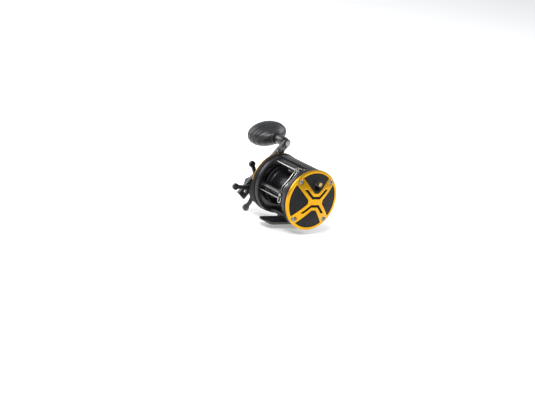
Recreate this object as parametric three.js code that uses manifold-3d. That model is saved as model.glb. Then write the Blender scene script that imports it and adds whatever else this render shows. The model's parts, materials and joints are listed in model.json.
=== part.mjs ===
// Level-wind trolling reel, as an assembly of separate pieces on a one-piece frame.
// Millimetres. +X runs along the spool axis from the handle side to the tail side, +Y runs
// towards the rod's butt and +Z is up. The origin is the middle of the foot's flat seat.
import * as THREE from 'three';
import { mergeVertices } from 'three/addons/utils/BufferGeometryUtils.js';
import Module from 'manifold-3d';

const wasm = await Module();
wasm.setup();

// ---- Clearances and facets ----
const GAP = 0.3; // between pieces that touch
const RUN = 0.4; // round a piece that turns or slides
const CUT = 1; // how far a cutting tool runs past a face
const OVERLAP = 0.1; // how far two halves of one piece run into each other
const WELD = 1e-4; // vertices nearer than this are one
const FINE = 40; // facets round a large turned piece
const MEDIUM = 18; // facets round a shaft or hub
const SMOOTH = 24; // facets round a small piece that shows
const COARSE = 10; // facets round a pin or screw

// ---- Overall sizes ----
const FLANGE_R = 25.2; // spool flange
const PLATE_BAND = 12.8; // gold rings beyond the spool flange
const SEAT_RISE = 1.5; // foot's seat above the gold rings' lowest point
const SPOOL_ROOM = 50; // clear width between the frame's rings

// ---- Frame ----
const RING_T = 6; // a frame ring's thickness along the axis
const PLATE_DEPTH = 6.5; // frame ring's outer face to the gold ring's
const RING_SETBACK = 1; // frame ring's edge inside the gold ring's
const RING_CLEAR = 0.5; // frame ring round the spool flange
const RING_CHAMFER = 0.8;
const RIM_BAND = 5; // width of a frame ring's raised rim
const WEB_SETBACK = 2.8; // ring's thinner web behind the rim's inner face
const BRIDGE_T = 2.6; // top bridge's wall
const BRIDGE_FROM = 58; // degrees from +Y towards +Z, rear edge
const BRIDGE_TO = 101; // front edge
const STAND_HALF_Y = 10; // half length of the stand that the foot is screwed to
const STAND_T = 4.2;
const REAR_BAR_R = 2.8;
const REAR_BAR_ANGLE = -14;

// ---- Foot ----
const FOOT_LENGTH = 84;
const FOOT_WIDTH = 22;
const FOOT_T = 3; // thickness under the stand
const FOOT_END_T = 1.5; // thickness at the two ends
const FOOT_DROP = 3; // the saddle's side edges below its seat
const LAND_HALF = 4; // half width of the flat seat
const FOOT_SCREW_Y = 6.8;
const FOOT_HEAD_R = 2.4;
const FOOT_FLAT = 4; // thick middle past the stand
const ARCH_OUT = 0.72; // bend of the foot's arch, share of its half width
const ARCH_DROP = 0.25; // and share of its drop

// ---- Side plates and gold rings ----
const RIM_T = 3.2; // tail cover's depth at its rim
const HEAD_RIM_T = 1.4; // head ring's depth
const COVER_T = 1.6; // gold cover's wall
const RIM_FACE = 3.4; // width of the gold rings' flat face
const RIM_WALL = 1.5; // gold rim's wall round the plate
const PANEL_INSET = 0.5; // panels in the windows below the gold cover's face
const DOME_H = 7; // rise of the tail cover's middle above its ring
const DOME_STEPS = 5;
const RIM_INSET = 0.4; // plate's rim inside the gold rim
const TRAIN_ROOM = 0.8; // room round the gear train in the tail plate
const TRAIN_DEPTH = 4.1;
const WINDOW_APEX = 10.7; // upper and lower windows' inner edge from the centre
const WINDOW_APEX_HALF = 3;
const SIDE_APEX = 11; // front and rear windows' inner edge
const SIDE_APEX_HALF = 2.5;
const ARM_LOW = 35.4; // degrees from the level to an arm's lower edge at the ring
const ARM_HIGH = 55.5; // and to its upper edge
const CHEVRON_LOW = 3.65; // slot's edge next to the central bar
const CHEVRON_HIGH = 6.95; // slot's outer edge
const CHEVRON_LOW_HALF = 5.8;
const CHEVRON_HIGH_HALF = 4.5;
const CHEVRON_END = 15.2; // slot's level end above the bar's middle
const CHEVRON_END_IN = 13.5;
const CHEVRON_END_OUT = 18;
const SCREW_IN = 5.26; // side screws' circle inside the gold rings
const SCREW_ANGLE = 45.4; // degrees
const SCREW_R = 1.4;
const SCREW_HEAD_R = 3.1;
const SCREW_HEAD_T = 1.8;
const SCREW_BITE = 5; // depth of a side screw in the frame
const SLOT_HALF = 0.45; // screw head's slot
const SLOT_DEPTH = 0.5;
const HEAD_SCREW_LOW = 266; // degrees, the head plate's lower screw beside the gear housing
const RING_OPEN_FROM = 175; // degrees, the head ring's gap round the gear housing
const RING_OPEN_TO = 260;
const RING_OPEN_CLEAR = 1; // degrees from the ring's ends to the plate's land

// ---- Spool ----
const ARBOR_R = 20;
const FLANGE_T = 2.4;
const FLANGE_EDGE = 0.5; // flange's rounded edge
const FLANGE_TAPER = 0.9; // flange's inner face leans by this
const FLANGE_ROOT = 2; // flange's root round the arbor
const SPOOL_CLEAR = 0.4; // flange's inner face outside the frame's inner face
const SHAFT_R = 2.4;
const NOSE_R = 1.4; // spool shaft's thin end, through the pinion
const NOSE_START = 1.7; // thin end's start past the head plate's inner face
const PINION_FIT = 0.15; // pinion round the thin end
const TAIL_BEARING_R = 5.5;
const TAIL_BEARING_T = 2.7;
const HEAD_BEARING_R = 4;
const HEAD_BEARING_T = 2.4;

// ---- Click ratchet ----
const CLICK_Z = 23; // button above the spool axis
const CLICK_TRAVEL = 6;
const BUTTON_R = 3.5;
const BUTTON_LENGTH = 8.5;
const BUTTON_STEM_R = 1.5;
const BUTTON_FLOOR = 1.2; // flat floor of the button's scoop, beyond the gold ring's face
const CLICK_GEAR_R = 6.2;
const CLICK_GEAR_ROOT = 4.8;
const CLICK_TEETH = 12;
const TONGUE_T = 1.2;
const TONGUE_HALF = 2.6;
const TONGUE_TAPER = 3;
const TONGUE_TIP = 0.5;
const TONGUE_HEAD = 2.3; // tongue's top above the button's middle
const RATCHET_STEEP = 0.12; // steep flank's share of a ratchet tooth
const RATCHET_MIDDLE = 0.56; // place where a tooth is half up

// ---- Level-wind gear train ----
const WORM_OUT = 4.8; // worm's axis beyond the spool flange
const SPOOL_TEETH = 14;
const IDLER_TEETH = 23;
const WORM_TEETH = 15;
const TRAIN_GEAR_T = 1.5;
const STUD_R = 1.5;
const STUD_SHOULDER_R = 2.8;
const STUD_SEAT = 3; // depth of the stud in the tail plate
const WORM_Z = 1.6; // worm above the spool axis
const BACKLASH = 0.14;
const PRESSURE = THREE.MathUtils.degToRad(25);
const ADDENDUM = 0.75; // tooth heights, in modules
const DEDENDUM = 1;

// ---- Level wind ----
const TUBE_R = 3.3;
const TUBE_WALL = 0.7;
const TUBE_SLOT = 2.8;
const WORM_END_R = 1.6;
const BUSH_WALL = 1.1;
const GUIDE_END = 1.1; // carriage from the frame ring at the end of its travel
const CARRIAGE_WIDTH = 9;
const CARRIAGE_WALL = 1.4;
const CARRIAGE_HALF_Z = 6.5;
const PAWL_R = 1.1;
const PAWL_CAP_R = 2.1;
const PAWL_CAP_T = 1.6;
const WIRE_R = 0.7;
const WIRE_SPREAD = 2.2; // each guide wire from the carriage's middle
const WIRE_SEAT = 3; // depth of a wire in the carriage
const WIRE_INSET = 1.4; // wires behind the carriage's front face
const WIRE_OVER = 1.2; // wires above the top bar
const WIRE_STEPS = 26; // bends along a guide wire
const LEG_DROP = 3; // lower loop below the carriage
const LOOP_BEND = 1;
const LOOP_STEPS = 20;
const GUIDE_BAR_R = 0.8;
const GUIDE_BAR_AHEAD = 3.24; // guide bar ahead of the worm
const GUIDE_BAR_DROP = 6; // and below it
const TOP_BAR_R = 1.2;
const TOP_BAR_IN = 2.56; // top bar inside the frame ring's edge
const TOP_BAR_ANGLE = 115.8; // degrees
const BAR_SEAT = 4; // depth of a cross bar in a frame ring

// ---- Drive ----
const GEAR_MODULE = 0.615;
const MAIN_TEETH = 49;
const PINION_TEETH = 10;
const DRIVE_ANGLE = 221; // degrees, drive axis seen from the spool axis
const GEAR_T = 2.5;
const GEAR_OUT = 1.5; // main gear's inner face beyond the gold ring's
const GEAR_ROOM = 0.8; // round the main gear's teeth
const HOUSING_WALL = 2.4;
const HOUSING_FACE_T = 1.8; // housing's outer wall
const HOUSING_OUT = 10.3; // gear housing's outer face beyond the gold ring's
const HOUSING_CHAMFER = 2;
const SLEEVE_R = 4;
const POST_R = 2; // fixed post in the sleeve's end
const POST_LENGTH = 10;
const SLEEVE_STUB = 1.6; // sleeve's end past the handle arm
const RATCHET_R = 8.6;
const RATCHET_ROOT = 7.2;
const RATCHET_TEETH = 10;
const RATCHET_T = 1.2;
const WASHER_IN = 1.95; // drag washers inside the main gear's roots
const METAL_WASHER_IN = 0.8; // metal washer inside the carbon one
const WASHER_T = 0.8;
const SPACER_R = 5.8;
const DOG_PIVOT_OUT = 4; // dog's pivot beyond the ratchet's tips
const DOG_PIVOT_ANGLE = 268;
const DOG_TIP_ANGLE = 240;
const DOG_HALF = 1.3;
const DOG_TIP = 0.4; // dog's blunt tip
const DOG_EYE_R = 2.2;
const DOG_PIN_R = 1;

// ---- Free spool ----
const BRIDGE_PLATE_T = 1.1;
const BRIDGE_PLATE_R = 30.3;
const CAM_R = 9; // lever's cam ring
const CAM_IN_R = 6.2;
const LEVER_T = 1.2;
const LEVER_HALF = 2.2;
const LEVER_ANGLE = 98; // degrees at rest
const LEVER_SWING = 25; // towards the rear
const PAD_OUT = 5; // pad's middle beyond the gold ring
const PAD_X = 11.5;
const PAD_Y = 9.5;
const PAD_Z = 5.5;
const PAD_EDGE = 1.2; // pad's rounded edge
const YOKE_T = 1;
const YOKE_HALF = 4;
const YOKE_REACH = 13;
const YOKE_SHIFT = 2.5;
const YOKE_DEPTH = 5; // room beyond the yoke's farthest place, for its springs
const YOKE_HOUSING_WALL = 1.6;
const YOKE_ROUND = 1; // housing's rounded ends inside the yoke's reach
const YOKE_POST = 11; // spring posts from the spool axis
const YOKE_POST_R = 0.9;
const YOKE_POST_END = 2; // posts past the yoke's farthest place
const SPRING_R = 1.9;
const SPRING_WIRE = 0.35;
const SPRING_TURNS = 4;
const SPRING_STEPS = 6; // bends in each turn
const SPRING_PRESSED = 0.9; // spring's height when the yoke is out
const PINION_FLANGE_R = 4.4;
const PINION_GROOVE_R = 2.5;
const PINION_OUT = 7.1; // pinion's end beyond the gold ring's face
const PINION_LOBE_R = 8.5;
const PINION_ROOM_R = 5.6;
const CAP_R = 7;
const CAP_T = 1.9;

// ---- Star drag and handle ----
const STAR_HUB_R = 7.5;
const STAR_HUB_OUT = 19.5; // hub's outer face beyond the gold ring's
const STAR_CLEAR = 0.6; // hub's inner face beyond the gear housing and the bearing cap
const STAR_ARMS = 5;
const STAR_R = 34;
const STAR_ARM_HALF = 2.25;
const STAR_ARM_T = 2.8;
const STAR_ARM_OUT = 16.9; // inner face of the arms at the hub
const STAR_TIP_OUT = 21.1; // and at the tips
const STAR_TIP_R = 4.2;
const STAR_KNEE = 0.62; // bend of an arm, share of its length
const STAR_BOW = 0.4; // an arm's lean up to its bend
const STAR_FIRST = 39; // degrees
const HANDLE_OUT = 28; // handle arm's inner face beyond the gold ring's
const HANDLE_T = 4.7;
const HANDLE_THROW = 69.2;
const HANDLE_ANGLE = 51;
const HANDLE_TAIL = 21; // arm past the shaft
const HANDLE_HOLE = 13; // balance hole from the shaft
const HANDLE_HOLE_R = 2.5;
const HANDLE_HALF = 6.5;
const HANDLE_END_R = 5;
const HANDLE_WAIST = 4.6; // half width between the hub and the knob
const HANDLE_HUB = 7.2; // half width at the shaft
const HANDLE_NECK = 18; // where the arm is down to its waist
const HANDLE_END_ARC = 80; // degrees of the rounded end on each side
const NUT_R = 6.6;
const NUT_T = 4.6;
const SPINDLE_R = 2;
const RIVET_R = 3.9;
const RIVET_T = 1.4;
const COLLAR_R = 6.2;
const COLLAR_LENGTH = 16.5;
const KNOB_AXIAL = 22; // knob's half sizes
const KNOB_WIDE = 27;
const KNOB_THIN = 15.3;
const KNOB_TILT = 14.7; // degrees from +Y to the knob's wide axis
const KNOB_BORE = 26; // depth of the spindle's bore

// ---- Sizes that follow ----
const outerR = FLANGE_R + PLATE_BAND; // gold rings' outer radius
const axisHeight = outerR - SEAT_RISE; // spool axis above the foot's seat
const ringIn = SPOOL_ROOM / 2;
const ringOut = ringIn + RING_T;
const faceX = ringOut + PLATE_DEPTH; // spool's middle to the outer face of each gold ring
const ringR = outerR - RING_SETBACK;
const ringInR = FLANGE_R + RING_CLEAR;
const rimInR = ringR - RIM_BAND;
const plateIn = ringOut + GAP;
const plateR = outerR - RIM_INSET;
const coverInR = outerR - RIM_FACE; // inner edge of the gold rings' flat face
const rimBack = faceX - RIM_T;
const headRimBack = faceX - HEAD_RIM_T;
const screwCircle = outerR - SCREW_IN;
const buttonFloor = faceX + BUTTON_FLOOR;
const gearFace = faceX + GEAR_OUT;
const housingX = faceX + HOUSING_OUT;
const pinionEnd = faceX + PINION_OUT;
const starHubOut = faceX + STAR_HUB_OUT;
const starArmX = faceX + STAR_ARM_OUT;
const starTipX = faceX + STAR_TIP_OUT;
const handleX = faceX + HANDLE_OUT;
const padR = outerR + PAD_OUT;
const topBar = polar(ringR - TOP_BAR_IN, TOP_BAR_ANGLE);
const trainGearX = plateIn + GAP;
const wormCentre = FLANGE_R + WORM_OUT;
const trainModule = 2 * wormCentre / (SPOOL_TEETH + 2 * IDLER_TEETH + WORM_TEETH);
const idlerCentre = trainModule * (SPOOL_TEETH + IDLER_TEETH) / 2;
const trainR = idlerCentre + trainModule * (IDLER_TEETH / 2 + ADDENDUM) + TRAIN_ROOM;
const wormY = -Math.sqrt(wormCentre ** 2 - WORM_Z ** 2);
const guideBarY = wormY - GUIDE_BAR_AHEAD;
const guideBarZ = WORM_Z - GUIDE_BAR_DROP;
const trainAngle = Math.atan2(WORM_Z, wormY);
const driveCentre = GEAR_MODULE * (MAIN_TEETH + PINION_TEETH) / 2;
const driveAngle = THREE.MathUtils.degToRad(DRIVE_ANGLE);
const driveY = driveCentre * Math.cos(driveAngle);
const driveZ = driveCentre * Math.sin(driveAngle);
const mainTipR = GEAR_MODULE * (MAIN_TEETH / 2 + ADDENDUM);
const washerR = GEAR_MODULE * (MAIN_TEETH / 2 - DEDENDUM) - WASHER_IN;
const dogPivotR = RATCHET_R + DOG_PIVOT_OUT;
const gearRoomR = Math.max(mainTipR + GEAR_ROOM, dogPivotR + DOG_EYE_R + RUN);
const housingR = gearRoomR + HOUSING_WALL;
const handleAngle = THREE.MathUtils.degToRad(HANDLE_ANGLE);
const wormR = TUBE_R - TUBE_WALL - RUN;
const carriageFront = TUBE_R + GAP + CARRIAGE_WALL; // carriage's front face ahead of the worm's axis
const carriageX = ringIn - CARRIAGE_WIDTH / 2 - GUIDE_END; // carriage's rest place
const footTop = FOOT_T;
const standBottom = footTop + GAP - axisHeight;

// ---- Materials ----
const FINISHES = {
  gold: [0xf0b41e, 0.3, 1],
  panel: [0x242428, 0.6, 0.2],
  graphite: [0x46464e, 0.55, 0.4],
  black: [0x1a1a1d, 0.5, 0.3],
  steel: [0xb4b6b8, 0.3, 1],
  chrome: [0xdcdcd7, 0.15, 1],
  brass: [0xc09a4a, 0.35, 1],
  carbon: [0x2a2a2a, 0.8, 0],
  grip: [0x303032, 0.7, 0],
  rivet: [0x969b8c, 0.3, 1],
};

function finish(name) {
  const [color, roughness, metalness] = FINISHES[name];
  return new THREE.MeshStandardMaterial({ color, roughness, metalness });
}

// ---- Solids ----
// A closed three.js geometry as a manifold solid with its faces pointing out.
function solidOf(geometry) {
  const bare = new THREE.BufferGeometry();
  bare.setAttribute('position', geometry.getAttribute('position').clone());
  if (geometry.index) {
    bare.setIndex(geometry.index.clone());
  }
  const merged = mergeVertices(bare, WELD);
  const points = merged.attributes.position;
  const index = merged.index.array;
  const triangles = [];
  let volume = 0;
  const a = new THREE.Vector3();
  const b = new THREE.Vector3();
  const c = new THREE.Vector3();
  for (let i = 0; i < index.length; i += 3) {
    const [p, q, r] = [index[i], index[i + 1], index[i + 2]];
    if (p === q || q === r || r === p) {
      continue;
    }
    triangles.push([p, q, r]);
    a.fromBufferAttribute(points, p);
    b.fromBufferAttribute(points, q);
    c.fromBufferAttribute(points, r);
    volume += a.dot(b.cross(c));
  }
  const outward = volume > 0 ? triangles : triangles.map(([p, q, r]) => [p, r, q]);
  return new wasm.Manifold(new wasm.Mesh({
    numProp: 3,
    vertProperties: new Float32Array(points.array),
    triVerts: new Uint32Array(outward.flat()),
  }));
}

function geometryOf(solid) {
  const mesh = solid.getMesh();
  const geometry = new THREE.BufferGeometry();
  geometry.setAttribute('position', new THREE.BufferAttribute(new Float32Array(mesh.vertProperties), 3));
  geometry.setIndex(new THREE.BufferAttribute(new Uint32Array(mesh.triVerts), 1));
  geometry.computeVertexNormals();
  return geometry;
}

// A round bar of radius r along x, from x0 to x1, with its axis at (y, z).
function rod(r, x0, x1, facets = MEDIUM, y = 0, z = 0) {
  const geometry = new THREE.CylinderGeometry(r, r, Math.abs(x1 - x0), facets);
  geometry.rotateZ(-Math.PI / 2);
  geometry.translate((x0 + x1) / 2, y, z);
  return solidOf(geometry);
}

// A ring along x.
function ring(outer, inner, x0, x1, facets = MEDIUM, y = 0, z = 0) {
  const [low, high] = [Math.min(x0, x1), Math.max(x0, x1)];
  return rod(outer, low, high, facets, y, z).subtract(rod(inner, low - CUT, high + CUT, facets, y, z));
}

// A piece turned about x from a closed profile of [x, radius] points.
function turned(profile, facets = FINE) {
  const points = profile.map(([x, r]) => new THREE.Vector2(r, x));
  const geometry = new THREE.LatheGeometry([...points, points[0]], facets);
  geometry.rotateZ(-Math.PI / 2);
  return solidOf(geometry);
}

// An outline of [y, z] points, or a shape drawn in y and z, cut out of plate from x0 to x1.
function slab(outline, x0, x1) {
  const shape = outline instanceof THREE.Shape ? outline : shapeOf(outline);
  const geometry = new THREE.ExtrudeGeometry(shape, { depth: Math.abs(x1 - x0), bevelEnabled: false });
  const basis = new THREE.Matrix4().makeBasis(
    new THREE.Vector3(0, 1, 0),
    new THREE.Vector3(0, 0, 1),
    new THREE.Vector3(1, 0, 0),
  );
  geometry.applyMatrix4(basis);
  geometry.translate(Math.min(x0, x1), 0, 0);
  return solidOf(geometry);
}

function shapeOf(points) {
  return new THREE.Shape(points.map(([u, v]) => new THREE.Vector2(u, v)));
}

function block(x0, x1, y0, y1, z0, z1) {
  const geometry = new THREE.BoxGeometry(x1 - x0, y1 - y0, z1 - z0);
  geometry.translate((x0 + x1) / 2, (y0 + y1) / 2, (z0 + z1) / 2);
  return solidOf(geometry);
}

// A pin along z.
function upright(r, x, y, z0, z1, facets = COARSE) {
  const geometry = new THREE.CylinderGeometry(r, r, z1 - z0, facets);
  geometry.rotateX(Math.PI / 2);
  geometry.translate(x, y, (z0 + z1) / 2);
  return solidOf(geometry);
}

// A pin along y.
function crosswise(r, x, z, y0, y1, facets = COARSE) {
  const geometry = new THREE.CylinderGeometry(r, r, y1 - y0, facets);
  geometry.translate(x, (y0 + y1) / 2, z);
  return solidOf(geometry);
}

// A round wire along a smooth curve through the points.
function wire(points, r, steps, facets = 8) {
  const curve = new THREE.CatmullRomCurve3(points.map((p) => new THREE.Vector3(...p)));
  const section = new THREE.Shape();
  section.absarc(0, 0, r, 0, Math.PI * 2);
  const options = { steps, extrudePath: curve, curveSegments: facets / 2, bevelEnabled: false };
  return solidOf(new THREE.ExtrudeGeometry(section, options));
}

function polar(r, degrees) {
  const angle = THREE.MathUtils.degToRad(degrees);
  return [r * Math.cos(angle), r * Math.sin(angle)];
}

// A wedge of a ring between two angles, as a [y, z] outline.
function sector(inner, outer, from, to, steps = 12) {
  const points = [];
  for (let i = 0; i <= steps; i += 1) {
    points.push(polar(outer, from + (to - from) * i / steps));
  }
  for (let i = steps; i >= 0; i -= 1) {
    points.push(polar(inner, from + (to - from) * i / steps));
  }
  return points;
}

// A slot with round ends between two [y, z] centres.
function roundSlot(from, to, half, x0, x1) {
  const along = new THREE.Vector2(to[0] - from[0], to[1] - from[1]).normalize().multiplyScalar(half);
  const sides = [
    [from[0] - along.y, from[1] + along.x],
    [from[0] + along.y, from[1] - along.x],
    [to[0] + along.y, to[1] - along.x],
    [to[0] - along.y, to[1] + along.x],
  ];
  const ends = [from, to].map(([y, z]) => rod(half, x0, x1, COARSE, y, z));
  return slab(sides, x0, x1).add(ends[0]).add(ends[1]);
}

// An involute spur gear's outline, with one tooth centred on the angle `phase`.
function gearOutline(teeth, module, phase) {
  const pitch = teeth * module / 2;
  const base = pitch * Math.cos(PRESSURE);
  const tip = pitch + ADDENDUM * module;
  const root = pitch - DEDENDUM * module;
  const start = Math.max(base, root);
  const roll = (r) => {
    const angle = Math.acos(Math.min(1, base / r));
    return Math.tan(angle) - angle;
  };
  const half = Math.PI / (2 * teeth) - BACKLASH / (2 * pitch) + roll(pitch);
  const flank = [[start, half - roll(start)], [tip, half - roll(tip)]];
  if (root < start) {
    flank.unshift([root, half]);
  }
  const points = [];
  for (let tooth = 0; tooth < teeth; tooth += 1) {
    const middle = phase + tooth * 2 * Math.PI / teeth;
    flank.forEach(([r, a]) => points.push([r * Math.cos(middle - a), r * Math.sin(middle - a)]));
    const falling = [...flank].reverse();
    falling.forEach(([r, a]) => points.push([r * Math.cos(middle + a), r * Math.sin(middle + a)]));
  }
  return points;
}

// The phase that puts a gap of a gear opposite a tooth that points at it along `angle`.
function facing(angle, teeth) {
  return angle + Math.PI + Math.PI / teeth;
}

function ratchetOutline(teeth, tip, root) {
  const points = [];
  for (let i = 0; i < teeth; i += 1) {
    const step = 360 / teeth;
    points.push(polar(tip, i * step));
    points.push(polar(root, (i + RATCHET_STEEP) * step));
    points.push(polar((tip + root) / 2, (i + RATCHET_MIDDLE) * step));
  }
  return points;
}

function bored(solid, r, x0, x1, facets = MEDIUM) {
  return solid.subtract(rod(r, Math.min(x0, x1) - CUT, Math.max(x0, x1) + CUT, facets));
}

// ---- Scene graph ----
const assembly = new THREE.Group();
const reel = new THREE.Group(); // origin on the spool axis
reel.position.z = axisHeight;
const drive = new THREE.Group(); // origin on the drive axis
drive.position.set(0, driveY, driveZ);
const arm = new THREE.Group(); // +y along the handle arm
arm.rotation.x = handleAngle;
const worm = new THREE.Group(); // origin on the worm's axis
worm.position.set(0, wormY, WORM_Z);
assembly.add(reel);
reel.add(drive, worm);
drive.add(arm);

function place(parent, name, look, solid, position = [0, 0, 0]) {
  const mesh = new THREE.Mesh(geometryOf(solid), finish(look));
  mesh.name = name;
  mesh.position.set(...position);
  parent.add(mesh);
  return mesh;
}

// ---- Frame and foot ----
function frameRing(side) {
  const [x0, x1] = [side * ringIn, side * ringOut];
  const c = side * RING_CHAMFER;
  const web = x0 + side * WEB_SETBACK;
  return turned([
    [web, ringInR], [web, rimInR], [x0, rimInR], [x0, ringR - RING_CHAMFER], [x0 + c, ringR],
    [x1 - c, ringR], [x1, ringR - RING_CHAMFER], [x1, ringInR],
  ]);
}

function screwPlaces(side) {
  const low = side < 0 ? HEAD_SCREW_LOW : 180 + SCREW_ANGLE;
  return [SCREW_ANGLE, 180 - SCREW_ANGLE, -SCREW_ANGLE, low].map((angle) => polar(screwCircle, angle));
}

function drillScrews(solid, side, r, x0, x1) {
  let drilled = solid;
  for (const [y, z] of screwPlaces(side)) {
    drilled = drilled.subtract(rod(r, side * x0, side * x1, COARSE, y, z));
  }
  return drilled;
}

function frame() {
  const half = ringIn + CUT;
  let solid = frameRing(-1).add(frameRing(1));
  solid = solid.add(slab(sector(ringR - BRIDGE_T, ringR, BRIDGE_FROM, BRIDGE_TO), -half, half));
  solid = solid.add(block(-half, half, -STAND_HALF_Y, STAND_HALF_Y, standBottom, standBottom + STAND_T));
  const [barY, barZ] = polar(ringR - REAR_BAR_R - RING_CHAMFER, REAR_BAR_ANGLE);
  solid = solid.add(rod(REAR_BAR_R, -half, half, MEDIUM, barY, barZ));
  for (const side of [-1, 1]) {
    solid = drillScrews(solid, side, SCREW_R + GAP, ringOut - SCREW_BITE, ringOut + CUT);
    const seat = [side * (ringIn - CUT), side * (ringIn + BAR_SEAT)];
    solid = solid.subtract(rod(GUIDE_BAR_R + GAP, ...seat, COARSE, guideBarY, guideBarZ));
    solid = solid.subtract(rod(TOP_BAR_R + GAP, ...seat, COARSE, ...topBar));
  }
  const bushHole = WORM_END_R + GAP + BUSH_WALL + GAP;
  solid = solid.subtract(rod(bushHole, -ringOut - CUT, ringOut + CUT, MEDIUM, wormY, WORM_Z));
  const tubeSeat = ringIn + WEB_SETBACK;
  solid = solid.subtract(rod(TUBE_R + GAP, -tubeSeat, tubeSeat, MEDIUM, wormY, WORM_Z));
  for (const y of [-FOOT_SCREW_Y, FOOT_SCREW_Y]) {
    solid = solid.subtract(upright(SCREW_R + GAP, 0, y, standBottom - CUT, standBottom + STAND_T - CUT));
  }
  return solid;
}

// The foot's section across the reel, in x and z: flat in the middle, arched towards its sides.
function footSection() {
  const half = FOOT_WIDTH / 2;
  const arch = new THREE.Shape();
  arch.moveTo(-half, -FOOT_DROP);
  arch.quadraticCurveTo(-half * ARCH_OUT, -FOOT_DROP * ARCH_DROP, -LAND_HALF, 0);
  arch.lineTo(LAND_HALF, 0);
  arch.quadraticCurveTo(half * ARCH_OUT, -FOOT_DROP * ARCH_DROP, half, -FOOT_DROP);
  arch.lineTo(half, FOOT_T - FOOT_DROP);
  arch.quadraticCurveTo(half * ARCH_OUT, FOOT_T - FOOT_DROP * ARCH_DROP, LAND_HALF, FOOT_T);
  arch.lineTo(-LAND_HALF, FOOT_T);
  arch.quadraticCurveTo(-half * ARCH_OUT, FOOT_T - FOOT_DROP * ARCH_DROP, -half, FOOT_T - FOOT_DROP);
  return arch;
}

function foot() {
  const half = FOOT_LENGTH / 2;
  const wide = FOOT_WIDTH / 2;
  const options = { depth: FOOT_LENGTH, bevelEnabled: false, curveSegments: 6 };
  const bar = new THREE.ExtrudeGeometry(footSection(), options);
  bar.rotateX(Math.PI / 2);
  bar.translate(0, half, 0);
  const plan = new THREE.Shape();
  plan.absellipse(0, half - wide, wide, wide, 0, Math.PI, false);
  plan.absellipse(0, wide - half, wide, wide, Math.PI, Math.PI * 2, false);
  const depth = FOOT_DROP + FOOT_T + 2 * CUT;
  const outline = new THREE.ExtrudeGeometry(plan, { depth, bevelEnabled: false, curveSegments: 10 });
  outline.translate(0, 0, -FOOT_DROP - CUT);
  const side = [
    [-half - CUT, -depth], [half + CUT, -depth], [half + CUT, FOOT_END_T], [STAND_HALF_Y + FOOT_FLAT, FOOT_T],
    [-STAND_HALF_Y - FOOT_FLAT, FOOT_T], [-half - CUT, FOOT_END_T],
  ];
  let solid = solidOf(bar).intersect(solidOf(outline));
  solid = solid.intersect(slab(side, -wide - CUT, wide + CUT));
  solid = solid.add(block(-wide + CUT, wide - CUT, -STAND_HALF_Y, STAND_HALF_Y, FOOT_T / 3, FOOT_T));
  for (const y of [-FOOT_SCREW_Y, FOOT_SCREW_Y]) {
    solid = solid.subtract(upright(SCREW_R + GAP, 0, y, -FOOT_T, FOOT_T + CUT));
    solid = solid.subtract(upright(FOOT_HEAD_R + GAP, 0, y, -FOOT_T, FOOT_T / 2));
  }
  return solid;
}

function footScrew(y) {
  const top = standBottom + STAND_T - CUT - GAP + axisHeight;
  const shank = upright(SCREW_R, 0, y, FOOT_T / 2 - GAP - CUT, top);
  return shank.add(upright(FOOT_HEAD_R, 0, y, GAP, FOOT_T / 2 - GAP));
}

place(reel, 'frame', 'graphite', frame());
place(assembly, 'reel_foot', 'black', foot());
place(assembly, 'foot_screw_front', 'steel', footScrew(-FOOT_SCREW_Y));
place(assembly, 'foot_screw_rear', 'steel', footScrew(FOOT_SCREW_Y));

// ---- Tail side ----
// The dome's face at radius r, for a face that is `inset` inside the gold cover's.
function domeX(r, inset = 0) {
  return faceX - inset + DOME_H * (1 - (r / coverInR) ** 2);
}

function domeProfile(inset) {
  const points = [];
  for (let i = 0; i <= DOME_STEPS; i += 1) {
    const r = coverInR * (1 - i / DOME_STEPS);
    points.push([domeX(r, inset), r]);
  }
  return points;
}

function tailPlate() {
  const inset = COVER_T + GAP;
  const seat = rimBack - GAP / 2;
  let solid = turned([
    [plateIn, 0], [plateIn, plateR], [seat, plateR], [seat, outerR - RIM_WALL - GAP],
    [faceX - inset, outerR - RIM_WALL - GAP], ...domeProfile(inset),
  ]);
  for (const outline of windows()) {
    solid = solid.add(flushPanel(outline));
  }
  const floor = plateIn + TRAIN_DEPTH;
  const wormRoom = trainModule * (WORM_TEETH / 2 + ADDENDUM) + RUN;
  solid = solid.subtract(rod(trainR, plateIn - CUT, floor, FINE));
  const trainOut = trainGearX + TRAIN_GEAR_T + GAP;
  solid = solid.subtract(rod(wormRoom, plateIn - CUT, trainOut, MEDIUM, wormY, WORM_Z));
  solid = solid.subtract(rod(TAIL_BEARING_R + GAP, floor - CUT, floor + TAIL_BEARING_T + 2 * GAP));
  const [studY, studZ] = [idlerCentre * Math.cos(trainAngle), idlerCentre * Math.sin(trainAngle)];
  solid = solid.subtract(rod(STUD_R + GAP, floor - CUT, floor + STUD_SEAT, COARSE, studY, studZ));
  const tongueRoom = TONGUE_HALF + RUN;
  solid = solid.subtract(block(plateIn - CUT, floor, -tongueRoom, tongueRoom, 0, CLICK_Z + BUTTON_R + RUN));
  const ends = [[0, CLICK_Z - CLICK_TRAVEL], [0, CLICK_Z]];
  solid = solid.subtract(roundSlot(...ends, BUTTON_STEM_R + GAP, plateIn, faceX + DOME_H));
  solid = solid.subtract(roundSlot(...ends, BUTTON_R + RUN, buttonFloor, faceX + DOME_H));
  return drillScrews(solid, 1, SCREW_R + GAP, plateIn - CUT, faceX + CUT);
}

function arcTo(points, r, from, to, steps = 8) {
  for (let i = 0; i <= steps; i += 1) {
    points.push(polar(r, from + (to - from) * i / steps));
  }
  return points;
}

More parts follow.
